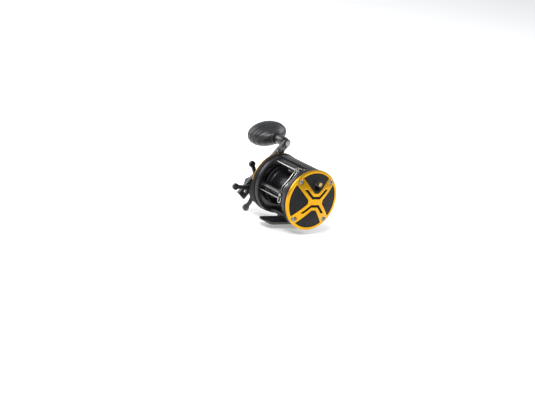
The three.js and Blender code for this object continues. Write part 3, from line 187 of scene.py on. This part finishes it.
def ease(piece, width, segments=2, sharp=32, smooth=30):
    """Rounds a piece's sharp edges and shades it smooth between the ones that stay."""
    work = bmesh.new()
    work.from_mesh(piece.data)
    bmesh.ops.remove_doubles(work, verts=work.verts, dist=2e-6)
    flat = math.radians(0.8)
    bmesh.ops.dissolve_limit(work, angle_limit=flat, verts=work.verts, edges=work.edges)
    limit = math.radians(sharp)
    edges = [e for e in work.edges if len(e.link_faces) == 2 and e.calc_face_angle(0) > limit]
    if width:
        bmesh.ops.bevel(
            work, geom=edges, offset=width * MM, segments=segments, profile=0.5, affect="EDGES",
            clamp_overlap=True,
        )
    bmesh.ops.triangulate(work, faces=[f for f in work.faces if len(f.verts) > 4])
    work.to_mesh(piece.data)
    work.free()
    for face in piece.data.polygons:
        face.use_smooth = True
    piece.data.set_sharp_from_angle(angle=math.radians(smooth))
    return piece


def cad_copy(node, width=0.25, segments=2, sharp=32):
    """A copy of a CAD node with eased edges, to stand for it."""
    piece = add_mesh(node + "_finished", frame["nodes"][node].data.copy())
    return ease(piece, width, segments, sharp)


def settle(piece, look, node, *others):
    """Gives a piece its finish, its body and the CAD nodes that it stands for."""
    piece.data.materials.clear()
    piece.data.materials.append(look)
    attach(piece, BODY_OF[node])
    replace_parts(piece, node, *others)
    return piece


def polar(r, degrees):
    angle = math.radians(degrees)
    return r * math.cos(angle), r * math.sin(angle)


# ---- Finishes ----
def principled(name, color, rough, metal=0.0, coat=0.0):
    look = bpy.data.materials.new(name)
    look.use_nodes = True
    shader = look.node_tree.nodes["Principled BSDF"]
    shader.inputs["Base Color"].default_value = (*color, 1)
    shader.inputs["Roughness"].default_value = rough
    shader.inputs["Metallic"].default_value = metal
    shader.inputs["Coat Weight"].default_value = coat
    shader.inputs["Coat Roughness"].default_value = 0.2
    return look, shader


def noise(look, per_metre, detail=3, stretch=(1, 1, 1)):
    nodes, links = look.node_tree.nodes, look.node_tree.links
    place = nodes.new("ShaderNodeTexCoord")
    scale = nodes.new("ShaderNodeMapping")
    scale.inputs["Scale"].default_value = stretch
    texture = nodes.new("ShaderNodeTexNoise")
    texture.inputs["Scale"].default_value = per_metre
    texture.inputs["Detail"].default_value = detail
    links.new(place.outputs["Object"], scale.inputs["Vector"])
    links.new(scale.outputs["Vector"], texture.inputs["Vector"])
    return texture.outputs["Fac"]


def ramp(look, source, low, high, start=0.35, end=0.65):
    node = look.node_tree.nodes.new("ShaderNodeValToRGB")
    node.color_ramp.elements[0].position = start
    node.color_ramp.elements[1].position = end
    node.color_ramp.elements[0].color = (*low, 1)
    node.color_ramp.elements[1].color = (*high, 1)
    look.node_tree.links.new(source, node.inputs["Fac"])
    return node.outputs["Color"]


def spread(look, source, low, high):
    node = look.node_tree.nodes.new("ShaderNodeMapRange")
    node.inputs["From Min"].default_value = 0.3
    node.inputs["From Max"].default_value = 0.7
    node.inputs["To Min"].default_value = low
    node.inputs["To Max"].default_value = high
    look.node_tree.links.new(source, node.inputs["Value"])
    return node.outputs["Result"]


def bump(look, shader, source, height, strength=1.0):
    node = look.node_tree.nodes.new("ShaderNodeBump")
    node.inputs["Strength"].default_value = strength
    node.inputs["Distance"].default_value = height
    look.node_tree.links.new(source, node.inputs["Height"])
    look.node_tree.links.new(node.outputs["Normal"], shader.inputs["Normal"])


def finish(name, low, high, rough, metal=0.0, coat=0.0, grain=900, bumps=(0, 0), stretch=(1, 1, 1)):
    """A finish that drifts between two shades, with a grain in its roughness and a fine bump.

    rough is (smoothest, roughest); bumps is (height in metres, grains in a metre).
    """
    look, shader = principled(name, high, rough[0], metal, coat)
    tone = noise(look, 60, 4)
    look.node_tree.links.new(ramp(look, tone, low, high), shader.inputs["Base Color"])
    fine = noise(look, grain, 3, stretch)
    look.node_tree.links.new(spread(look, fine, *rough), shader.inputs["Roughness"])
    height, scale = bumps
    if height:
        bump(look, shader, noise(look, scale, 2, stretch), height)
    return look


GOLD = finish("gold_anodised", (0.70, 0.355, 0.010), (0.82, 0.43, 0.014), (0.26, 0.36),
              metal=1.0, coat=0.15, grain=1500, bumps=(0.00002, 4000))
PANEL = finish("textured_black", (0.005, 0.005, 0.006), (0.012, 0.012, 0.014), (0.5, 0.7),
               grain=2500, bumps=(0.0002, 2600))
GRAPHITE = finish("graphite_frame", (0.009, 0.009, 0.011), (0.017, 0.017, 0.020), (0.26, 0.40),
                  metal=0.25, coat=0.15, grain=1800, bumps=(0.00006, 3200))
BLACK = finish("gloss_black", (0.008, 0.008, 0.009), (0.02, 0.02, 0.022), (0.22, 0.36),
               coat=0.5, grain=1400, bumps=(0.00002, 2500))
ARM = finish("arm_metal", (0.014, 0.014, 0.016), (0.03, 0.03, 0.034), (0.26, 0.4),
             metal=0.4, coat=0.3, grain=1400, bumps=(0.00002, 2500))
ANODISED = finish("spool_anodised", (0.012, 0.012, 0.014), (0.028, 0.028, 0.032), (0.2, 0.32),
                  metal=0.7, coat=0.2, grain=1200, bumps=(0.00003, 5000), stretch=(6, 1, 1))
GRIP = finish("rubber_grip", (0.010, 0.010, 0.011), (0.022, 0.022, 0.025), (0.28, 0.42),
              coat=0.1, grain=1800, bumps=(0.00008, 3000))
CHROME = finish("bright_steel", (0.32, 0.32, 0.31), (0.42, 0.42, 0.41), (0.16, 0.26),
                metal=1.0, grain=900, bumps=(0.00001, 3000))
STEEL = finish("steel", (0.24, 0.24, 0.24), (0.36, 0.36, 0.355), (0.25, 0.4),
               metal=1.0, grain=1600, bumps=(0.00002, 5000), stretch=(1, 6, 6))
RIVET = finish("rivet", (0.30, 0.32, 0.26), (0.42, 0.44, 0.37), (0.28, 0.4),
               metal=0.9, grain=1200, bumps=(0.00003, 3000))
BRASS = finish("brass", (0.48, 0.31, 0.09), (0.62, 0.43, 0.15), (0.25, 0.4),
               metal=1.0, grain=1500, bumps=(0.00002, 4000))
CARBON = finish("carbon", (0.015, 0.015, 0.015), (0.04, 0.04, 0.04), (0.5, 0.7),
                grain=2500, bumps=(0.0001, 2500))
PLASTIC = finish("black_plastic", (0.015, 0.015, 0.016), (0.03, 0.03, 0.03), (0.4, 0.5),
                 grain=1500, bumps=(0.00005, 2500))
panel_shader = PANEL.node_tree.nodes["Principled BSDF"]
panel_shader.inputs["Specular IOR Level"].default_value = 0.25
LOOKS = {
    "gold_anodised": GOLD, "textured_black": PANEL, "graphite_frame": GRAPHITE, "gloss_black": BLACK,
    "arm_metal": ARM, "spool_anodised": ANODISED, "rubber_grip": GRIP, "bright_steel": CHROME, "steel": STEEL,
    "brass": BRASS, "carbon": CARBON, "black_plastic": PLASTIC,
}


# ---- Tail side: domed panel, gold cover, screws and click button ----
ARM_LOW, ARM_HIGH = 35.4, 55.5  # degrees from the level to an arm's edges at the ring
WINDOW_APEX, WINDOW_HALF = 10.7, 3.0
SIDE_APEX, SIDE_HALF = 11.0, 2.5
CHEVRON = [(-5.8, 3.65), (5.8, 3.65), (18, 15.2), (13.5, 15.2), (4.5, 6.95), (-4.5, 6.95),
           (-13.5, 15.2), (-18, 15.2)]
CLICK_Z, CLICK_TRAVEL = 23.0, 6.0
BUTTON_R, BUTTON_LENGTH, BUTTON_STEM_R = 3.5, 8.5, 1.5
BUTTON_FLOOR = 38.7  # flat floor of the button's scoop
BUTTON_CAP_R = 2.4  # bright middle of the button's end
TRAIN_R, TRAIN_OUT = 24.5, 35.4  # hollow for the gear train in the tail plate
SCREW_R, SCREW_HEAD_R, SCREW_HEAD_T = 1.4, 3.1, 1.8
SCREW_END = 26.3
RECESS_HALF, RECESS_LONG, RECESS_DEPTH = 0.32, 1.9, 0.9


def dome(r, inset=0.0):
    return FACE_X - inset + DOME_H * (1 - (r / COVER_IN_R) ** 2)


def dome_rows(inset, steps=20):
    radii = [COVER_IN_R * (1 - i / steps) for i in range(steps + 1)]
    return [(dome(r, inset), r) for r in radii]


def arc(r, start, end, steps=28):
    return [polar(r, start + (end - start) * i / steps) for i in range(steps + 1)]


def rounded(corners, radius=0.9, steps=4):
    """An outline with its corners rounded, given as (y, z) points in order."""
    out = []
    for k, corner in enumerate(corners):
        here = Vector(corner)
        before = Vector(corners[k - 1]) - here
        after = Vector(corners[(k + 1) % len(corners)]) - here
        reach = min(radius, before.length * 0.4, after.length * 0.4)
        start, end = here + before.normalized() * reach, here + after.normalized() * reach
        for i in range(steps + 1):
            t = i / steps
            out.append(tuple((1 - t) ** 2 * start + 2 * t * (1 - t) * here + t ** 2 * end))
    return out


def flipped(outline):
    return [(-y, -z) for y, z in outline]


def windows():
    top = arc(COVER_IN_R, ARM_HIGH, 180 - ARM_HIGH)
    side = arc(COVER_IN_R, -ARM_LOW, ARM_LOW)
    upper = rounded([(WINDOW_HALF, WINDOW_APEX), *top, (-WINDOW_HALF, WINDOW_APEX)], 0.7)
    rear = rounded([(SIDE_APEX, -SIDE_HALF), *side, (SIDE_APEX, SIDE_HALF)], 0.7)
    chevron = rounded(CHEVRON, 0.5)
    return [upper, flipped(upper), rear, flipped(rear), chevron, flipped(chevron)]


def shrunk(outline, gap):
    """An outline moved inwards by a gap on every side."""
    corners = [Vector(point) for point in outline]
    kept = [c for k, c in enumerate(corners) if (c - corners[k - 1]).length > 1e-4]
    count = len(kept)
    area = sum(kept[k - 1].x * kept[k].y - kept[k].x * kept[k - 1].y for k in range(count))
    way = 1 if area > 0 else -1
    moved = []
    for k, here in enumerate(kept):
        along = (here - kept[k - 1]).normalized()
        away = (kept[(k + 1) % count] - here).normalized()
        inward = (Vector((-along.y, along.x)) + Vector((-away.y, away.x))).normalized()
        reach = gap / max(0.5, inward.dot(Vector((-along.y, along.x))))
        moved.append(tuple(here + way * reach * inward))
    return moved


def screw_places(side):
    names = [f"{'tail' if side > 0 else 'head'}_screw_{i}" for i in (1, 2, 3, 4)]
    return {name: middle(name) for name in names}


def bore(name, r, x0, x1, centre):
    return turned(name, [(x0, 0), (x0, r), (x1, r), (x1, 0)], 40, centre)


def tail_cover():
    inner = PLATE_R - RIM_WALL
    back = FACE_X - RIM_T
    cover = turned("tail_cover_finished", [
        (back, PLATE_R), (FACE_X - 0.8, PLATE_R), (FACE_X - 0.25, PLATE_R - 0.3), (FACE_X, PLATE_R - 0.9),
        (FACE_X, COVER_IN_R + 0.2), *dome_rows(0), *dome_rows(COVER_T)[::-1],
        (FACE_X - COVER_T, inner), (back, inner),
    ], 144)
    tools = [prism("window", outline, FACE_X - 6, FACE_X + DOME_H + 2) for outline in windows()]
    for name, place in screw_places(1).items():
        centre = Vector((0, place.y, place.z))
        tools.append(bore("seat", SCREW_HEAD_R + GAP, FACE_X, FACE_X + DOME_H, centre))
        tools.append(bore("hole", SCREW_R + GAP, FACE_X - 8, FACE_X + 1, centre))
    combine(cover, tools)
    return ease(cover, 0.28, 2, 40)


def obround(half):
    """The outline of the click button's slot, from the bottom of its travel to the top."""
    low, high = CLICK_Z - CLICK_TRAVEL, CLICK_Z
    turns = [math.pi * i / 12 for i in range(13)]
    top = [(half * math.cos(a), high + half * math.sin(a)) for a in turns]
    return top + [(-half * math.cos(a), low - half * math.sin(a)) for a in turns]


def tail_plate():
    inset = COVER_T + GAP
    seat = FACE_X - RIM_T - 0.15
    outer = PLATE_R - RIM_INSET
    inner = PLATE_R - RIM_WALL - GAP
    plate = turned("tail_plate_finished", [
        (PLATE_IN, 0), (PLATE_IN, outer - 0.2), (PLATE_IN + 0.3, outer), (seat - 0.3, outer),
        (seat, outer - 0.2), (seat, inner), (FACE_X - inset, inner), *dome_rows(inset),
    ], 144)
    pads = []
    for outline in windows():
        face = turned("pad", [(FACE_X - 5, 0), (FACE_X - 5, COVER_IN_R), *dome_rows(PANEL_INSET)], 144)
        edge = prism("edge", shrunk(outline, GAP), FACE_X - 4, FACE_X + DOME_H + 2)
        pads.append(combine(face, [edge], "INTERSECT"))
    combine(plate, pads, "UNION")
    tools = [
        prism("scoop", obround(BUTTON_R + RUN), BUTTON_FLOOR, FACE_X + DOME_H + 2),
        prism("slot", obround(BUTTON_STEM_R + GAP), 33, 60),
        bore("room", TRAIN_R, 30, TRAIN_OUT, AXIS),
    ]
    for place in screw_places(1).values():
        tools.append(bore("hole", SCREW_R + GAP, 28, FACE_X + 2, Vector((0, place.y, place.z))))
    combine(plate, tools)
    return ease(plate, 0.22, 2, 40)


def side_screw(name, place, side):
    """A pan-head screw with a cross recess, its head outside the gold ring."""
    centre = Vector((0, place.y, place.z))
    seat, top = FACE_X + GAP, FACE_X + GAP + SCREW_HEAD_T
    head = [(SCREW_END, 0), (SCREW_END, SCREW_R), (seat, SCREW_R), (seat, SCREW_HEAD_R),
            (seat + 0.7, SCREW_HEAD_R), (seat + 1.2, SCREW_HEAD_R - 0.35),
            (top - 0.15, SCREW_HEAD_R - 1.3), (top, 1.0), (top, 0)]
    screw = turned(name + "_finished", [(side * x, r) for x, r in head], 40, centre)
    turn = (place.y * 900) % 45
    arms = []
    for quarter in (0, 90):
        cross = [(-RECESS_LONG, -RECESS_HALF), (RECESS_LONG, -RECESS_HALF), (RECESS_LONG, RECESS_HALF),
                 (-RECESS_LONG, RECESS_HALF)]
        c, s = polar(1, turn + quarter)
        outline = [(y * c - z * s, y * s + z * c) for y, z in cross]
        depth = sorted((side * (top - RECESS_DEPTH), side * (top + 1)))
        arms.append(prism("recess", outline, *depth, centre))
    combine(screw, arms)
    return ease(screw, 0.1, 1, 50)


def click_button():
    """A ridged button with a bright cap, on the stem that slides in the plate's slot."""
    base, length, r = BUTTON_FLOOR + GAP, BUTTON_LENGTH, BUTTON_R
    stem = 33.7
    rows = [(stem, 0), (stem, BUTTON_STEM_R), (base, BUTTON_STEM_R), (base, r - 0.3), (base + 0.4, r)]
    ridge = 0.75
    for i in range(7):
        start = base + 1.2 + i * ridge
        rows += [(start, r), (start + 0.15, r - 0.25), (start + 0.4, r - 0.25), (start + 0.55, r)]
    rows += [(base + length - 0.7, r), (base + length - 0.2, r - 0.25), (base + length, r - 0.8),
             (base + length - 0.35, r - 1.2), (base + length - 0.35, 0)]
    button = turned("clicker_button_finished", rows, 48, AXIS + Vector((0, 0, CLICK_Z * MM)))
    return ease(button, 0, 1)


def cap_the_button(button):
    """Gives the middle of the button's end its bright finish."""
    button.data.materials.append(BRASS)
    end = BUTTON_FLOOR + GAP + BUTTON_LENGTH - 0.6
    for face in button.data.polygons:
        across = face.center - AXIS - Vector((0, 0, CLICK_Z * MM))
        if face.center.x > end * MM and math.hypot(across.y, across.z) < BUTTON_CAP_R * MM:
            face.material_index = 1


settle(tail_cover(), GOLD, "tail_cover")
settle(tail_plate(), PANEL, "tail_plate")
for side in (-1, 1):
    for name, place in screw_places(side).items():
        settle(side_screw(name, place, side), STEEL, name)
cap_the_button(settle(click_button(), BLACK, "clicker_button"))


# ---- Spool ----
def spool_piece():
    """A black spool with thin flanges, a turned edge on each, and a ribbed arbor."""
    inner, outer, flange, arbor = 24.6, 27.0, 25.2, 20.0
    half = [(outer, 2.7), (outer, 7), (outer - 0.5, 7.6), (outer - 0.5, flange - 2.2), (outer, flange - 1.6),
            (outer, flange - 0.4), (outer - 0.4, flange), (inner + 0.6, flange), (inner, flange - 0.6),
            (inner - 0.35, flange - 1.6), (inner - 0.9, arbor + 2.2), (inner - 1.4, arbor + 0.8),
            (inner - 2.4, arbor)]
    ribs = []
    for i in range(21):
        x = 20 - 2 * i
        ribs += [(x + 0.5, arbor), (x + 0.3, arbor - 0.3), (x - 0.3, arbor - 0.3), (x - 0.5, arbor)]
    rows = half + ribs + [(-x, r) for x, r in reversed(half)]
    spool = turned("spool_finished", rows, 128)
    return ease(spool, 0, 1, 40, 35)


settle(spool_piece(), ANODISED, "spool")


# ---- Frame: two stepped rings, top bridge, rear bar and stand ----
RING_R, RING_IN_R, RIM_IN_R = 37.0, 25.7, 32.0
RING_IN, RING_OUT, WEB_SETBACK = 25.0, 31.0, 2.8
BRIDGE_T, BRIDGE_FROM, BRIDGE_TO = 2.6, 58, 101
STAND_BOTTOM, STAND_T, STAND_HALF = -33.2, 4.2, 10.0
REAR_BAR_R, REAR_BAR_IN, REAR_BAR_ANGLE = 2.8, 3.6, -14
BUSH_HOLE_R, TUBE_R = 3.3, 3.3


def block(name, x0, x1, y0, y1, z0, z1):
    return prism(name, [(y0, z0), (y1, z0), (y1, z1), (y0, z1)], x0, x1)


def frame_piece():
    half = RING_IN + 1
    rings = []
    for side in (-1, 1):
        rows = [(RING_IN + WEB_SETBACK, RING_IN_R), (RING_IN + WEB_SETBACK, RIM_IN_R - 0.4),
                (RING_IN + WEB_SETBACK - 0.4, RIM_IN_R), (RING_IN + 0.3, RIM_IN_R), (RING_IN, RIM_IN_R + 0.3),
                (RING_IN, RING_R - 0.8), (RING_IN + 0.25, RING_R - 0.25), (RING_IN + 0.8, RING_R),
                (RING_OUT - 0.8, RING_R), (RING_OUT, RING_R - 0.8), (RING_OUT, RING_IN_R)]
        rings.append(turned("ring", [(side * x, r) for x, r in rows], 144))
    bridge = arc(RING_R, BRIDGE_FROM, BRIDGE_TO) + arc(RING_R - BRIDGE_T, BRIDGE_TO, BRIDGE_FROM)
    bar_y, bar_z = polar(RING_R - REAR_BAR_IN, REAR_BAR_ANGLE)
    bar = bore("bar", REAR_BAR_R, -half, half, AXIS + Vector((0, bar_y, bar_z)) * MM)
    stand = block("stand", -half, half, -STAND_HALF, STAND_HALF, STAND_BOTTOM, STAND_BOTTOM + STAND_T)
    body = combine(rings[0], [rings[1], prism("bridge", bridge, -half, half), bar, stand], "UNION")
    tube_seat = RING_IN + WEB_SETBACK
    holes = [
        bore("bush", BUSH_HOLE_R, -40, 40, WORM),
        bore("seat", TUBE_R + GAP, -tube_seat, tube_seat, WORM),
    ]
    combine(body, holes)
    ease(body, 0.15, 2, 40)
    body.name = "frame_finished"
    settle(body, GRAPHITE, "frame")
    body.data.materials.append(BLACK)
    for face in body.data.polygons:
        across = face.center - AXIS
        inside = math.hypot(across.y, across.z) < (RIM_IN_R - 0.1) * MM
        if inside and abs(across.x) > (RING_IN + 1.5) * MM:
            face.material_index = 1
    return body


frame_piece()


# ---- Wires ----
def smooth_path(points, steps=10):
    """A Catmull-Rom line through the points."""
    ends = [points[0], *points, points[-1]]
    path = []
    for k in range(1, len(ends) - 2):
        a, b, c, d = (Vector(ends[k + j]) for j in (-1, 0, 1, 2))
        for i in range(steps):
            t = i / steps
            bend = (2 * a - 5 * b + 4 * c - d) * t * t + (3 * b - a - 3 * c + d) * t ** 3
            path.append(0.5 * (2 * b + (c - a) * t + bend))
    return path + [Vector(points[-1])]


def tube(name, points, r, normal, centre, sides=14):
    """A round wire along points that lie in one plane, with that plane's normal."""
    path = smooth_path(points)
    rows, faces = [], []
    for k, here in enumerate(path):
        ahead = path[min(k + 1, len(path) - 1)] - path[max(k - 1, 0)]
        across = ahead.normalized().cross(Vector(normal))
        for i in range(sides):
            a = 2 * math.pi * i / sides
            rows.append(tuple(here + r * (math.cos(a) * across + math.sin(a) * Vector(normal))))
    for k in range(len(path) - 1):
        for i in range(sides):
            j = (i + 1) % sides
            faces.append([k * sides + i, k * sides + j, (k + 1) * sides + j, (k + 1) * sides + i])
    faces.append(list(range(sides)))
    faces.append(list(range(len(rows) - 1, len(rows) - 1 - sides, -1)))
    wire = mesh_of(name, rows, faces)
    wire.data.transform(Matrix.Translation(centre))
    tidy(wire)
    return ease(wire, 0, 1, 60, 50)


CARRIAGE = middle("pawl_cap")
CARRIAGE_FRONT, CARRIAGE_HALF_Z = 5.0, 6.5
WIRE_R, WIRE_SPREAD, WIRE_INSET, WIRE_OVER = 0.7, 2.2, 1.4, 3.1
TOP_BAR = (middle("top_bar") - Vector((0, WORM.y, WORM.z))) / MM


def guide_wire(node, offset):
    y = -CARRIAGE_FRONT + WIRE_INSET
    over = WIRE_OVER
    bar_y, bar_z = TOP_BAR.y, TOP_BAR.z
    points = [(0, y, CARRIAGE_HALF_Z - 2.7), (0, y, CARRIAGE_HALF_Z + 1), (0, y + 2, CARRIAGE_HALF_Z + 5),
              (0, (y + bar_y) / 2 - 1.2, bar_z / 2 + 4), (0, bar_y - over - 1, bar_z - 1.5),
              (0, bar_y - over * 0.6, bar_z + over * 0.9), (0, bar_y + over * 0.7, bar_z + over),
              (0, bar_y + over + 0.9, bar_z + 0.6)]
    centre = Vector((CARRIAGE.x + offset * MM, WORM.y, WORM.z))
    settle(tube(node + "_finished", points, WIRE_R, (1, 0, 0), centre), CHROME, node)


guide_wire("guide_wire_head", -WIRE_SPREAD)
guide_wire("guide_wire_tail", WIRE_SPREAD)


# ---- Knob ----
KNOB_TILT = 14.7  # degrees from +Y to the knob's wide axis
KNOB_WIDE, KNOB_THIN, NECK_R, NECK_TAPER = 26.6, 15.0, 8.4, 0.9
NECK_FROM = 0.8  # place along the knob where its neck begins, 1 at the neck's end
RIDGE = 0.014  # ridges' height, share of the knob's radius


def knob_piece():
    """An egg-shaped grip with a short neck, and slanting ridges round it."""
    low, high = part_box("handle_knob")
    centre = (low + high) / 2
    length = (high.x - low.x) / MM
    tilt = math.radians(KNOB_TILT)
    rows, count = 64, 96
    points, faces = [], []
    for k in range(rows + 1):
        u = -math.cos(math.pi * k / rows)  # -1 at the outer end, 1 at the neck
        egg = math.sqrt(max(0, 1 - u * u)) * (1 - 0.1 * max(0, u) ** 2)
        for i in range(count):
            a = 2 * math.pi * i / count
            ridge = 1 + RIDGE * math.sin(3 * a + 22 * u) * max(0, 1 - abs(u) ** 6)
            wide, thin = KNOB_WIDE * egg * ridge, KNOB_THIN * egg * ridge
            if u > NECK_FROM:
                neck = NECK_R - NECK_TAPER * (u - NECK_FROM) / (1 - NECK_FROM)
                wide, thin = max(wide, neck), max(thin, neck)
            y, z = wide * math.cos(a), thin * math.sin(a)
            c, t = math.cos(tilt), math.sin(tilt)
            points.append((u * length / 2 * 0.995, y * c - z * t, y * t + z * c))
    for k in range(rows):
        for i in range(count):
            j = (i + 1) % count
            faces.append([k * count + i, k * count + j, (k + 1) * count + j, (k + 1) * count + i])
    faces.append(list(range(count)))
    faces.append(list(range(len(points) - 1, len(points) - 1 - count, -1)))
    knob = mesh_of("handle_knob_finished", points, faces)
    knob.data.transform(Matrix.Translation(centre))
    tidy(knob)
    combine(knob, [bore("spindle_hole", 2.4, -130, -20, Vector((0, KNOB.y, KNOB.z)))])
    ease(knob, 0, 1, 60, 50)
    settle(knob, GRIP, "handle_knob")


knob_piece()


# ---- Pieces that keep the frame's shape, with eased edges ----
EASED = {
    "reel_foot": 0.35, "head_plate": 0.45, "head_ring": 0.35, "handle_arm": 0.6, "handle_nut": 0.5,
    "free_spool_lever": 0.4, "line_guide_carriage": 0.5, "worm_tube": 0.15, "top_bar": 0.2, "guide_bar": 0.15,
    "pawl_cap": 0.4, "knob_collar": 0.6, "bearing_cap": 0.5, "drag_spacer": 0.3, "star_drag": 0.5,
    "foot_screw_front": 0.3, "foot_screw_rear": 0.3, "drive_sleeve": 0.3, "knob_spindle": 0.4,
    "lower_wire_loop": 0, "spool_shaft": 0.2, "worm_shaft": 0.2,
}
REPLACED = {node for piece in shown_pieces() for node in piece.get("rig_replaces", [])}
for node, width in EASED.items():
    if node not in REPLACED:
        look = RIVET if node == "knob_spindle" else LOOKS[SLOT_OF[node]]
        settle(cad_copy(node, width), look, node)
        REPLACED.add(node)

for node, cad in frame["nodes"].items():
    if node not in REPLACED:
        cad.data.materials.clear()
        cad.data.materials.append(LOOKS[SLOT_OF[node]])


# ---- Floor, backdrop, light and camera ----
def stage_look():
    """Pale floor that shows white to the camera and in gloss, and keeps the reel's shadow."""
    look = bpy.data.materials.new("stage_white")
    look.use_nodes = True
    nodes, links = look.node_tree.nodes, look.node_tree.links
    shader = nodes["Principled BSDF"]
    shader.inputs["Base Color"].default_value = (0.86, 0.86, 0.86, 1)
    shader.inputs["Roughness"].default_value = 0.9
    glow = nodes.new("ShaderNodeEmission")
    glow.inputs["Color"].default_value = (1, 1, 1, 1)
    glow.inputs["Strength"].default_value = 0.3
    ray = nodes.new("ShaderNodeLightPath")
    gate = nodes.new("ShaderNodeMath")
    gate.operation = "MAXIMUM"
    both = nodes.new("ShaderNodeAddShader")
    blend = nodes.new("ShaderNodeMixShader")
    links.new(ray.outputs["Is Camera Ray"], gate.inputs[0])
    links.new(ray.outputs["Is Glossy Ray"], gate.inputs[1])
    links.new(shader.outputs["BSDF"], both.inputs[0])
    links.new(glow.outputs["Emission"], both.inputs[1])
    links.new(gate.outputs["Value"], blend.inputs["Fac"])
    links.new(shader.outputs["BSDF"], blend.inputs[1])
    links.new(both.outputs["Shader"], blend.inputs[2])
    links.new(blend.outputs["Shader"], nodes["Material Output"].inputs["Surface"])
    return look


def build_stage():
    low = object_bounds()[0]
    bpy.ops.mesh.primitive_plane_add(size=12, location=(0, 0, low[2] - 0.0005))
    floor = bpy.context.object
    floor.name = "floor"
    floor.data.materials.append(stage_look())
    world = bpy.data.worlds.new("studio")
    bpy.context.scene.world = world
    world.use_nodes = True
    nodes, links = world.node_tree.nodes, world.node_tree.links
    sky = nodes["Background"]
    sky.inputs["Color"].default_value = (0.95, 0.97, 1, 1)
    sky.inputs["Strength"].default_value = 0.45
    white = nodes.new("ShaderNodeBackground")
    white.inputs["Color"].default_value = (1, 1, 1, 1)
    white.inputs["Strength"].default_value = 1.0
    ray = nodes.new("ShaderNodeLightPath")
    blend = nodes.new("ShaderNodeMixShader")
    links.new(ray.outputs["Is Camera Ray"], blend.inputs["Fac"])
    links.new(sky.outputs["Background"], blend.inputs[1])
    links.new(white.outputs["Background"], blend.inputs[2])
    links.new(blend.outputs["Shader"], nodes["World Output"].inputs["Surface"])


def lamp(name, place, target, size, watts):
    data = bpy.data.lights.new(name, "AREA")
    data.shape = "DISK"
    data.size = size
    data.energy = watts
    light = bpy.data.objects.new(name, data)
    light.location = place
    light.rotation_euler = (Vector(target) - Vector(place)).to_track_quat("-Z", "Y").to_euler()
    bpy.context.scene.collection.objects.link(light)


# The camera's right, up and back directions, and what it looks at.
CAMERA_RIGHT = Vector((0.584, 0.790, 0.185))
CAMERA_BACK = Vector((0.749, -0.613, 0.2526))
CAMERA_TARGET = Vector((0.0060, -0.0427, 0.0265))
CAMERA_DISTANCE = 2.0
CAMERA_LENS = 111.0


def build_camera():
    data = bpy.data.cameras.new("camera")
    data.lens = CAMERA_LENS
    data.clip_end = 50
    camera = bpy.data.objects.new("camera", data)
    bpy.context.scene.collection.objects.link(camera)
    back = CAMERA_BACK.normalized()
    right = (CAMERA_RIGHT - back * CAMERA_RIGHT.dot(back)).normalized()
    up = back.cross(right)
    turn = Matrix((right, up, back)).transposed().to_4x4()
    camera.matrix_world = Matrix.Translation(CAMERA_TARGET + CAMERA_DISTANCE * back) @ turn
    bpy.context.scene.camera = camera


build_stage()
lamp("key", (1.2, -1.6, 2.2), (0, 0, 0.03), 1.4, 60)
lamp("fill", (-1.8, -1.0, 1.2), (0, 0, 0.03), 1.6, 22)
lamp("back", (0.4, 2.0, 1.6), (0, 0, 0.03), 1.2, 30)
build_camera()
bpy.context.scene.view_settings.view_transform = "Standard"
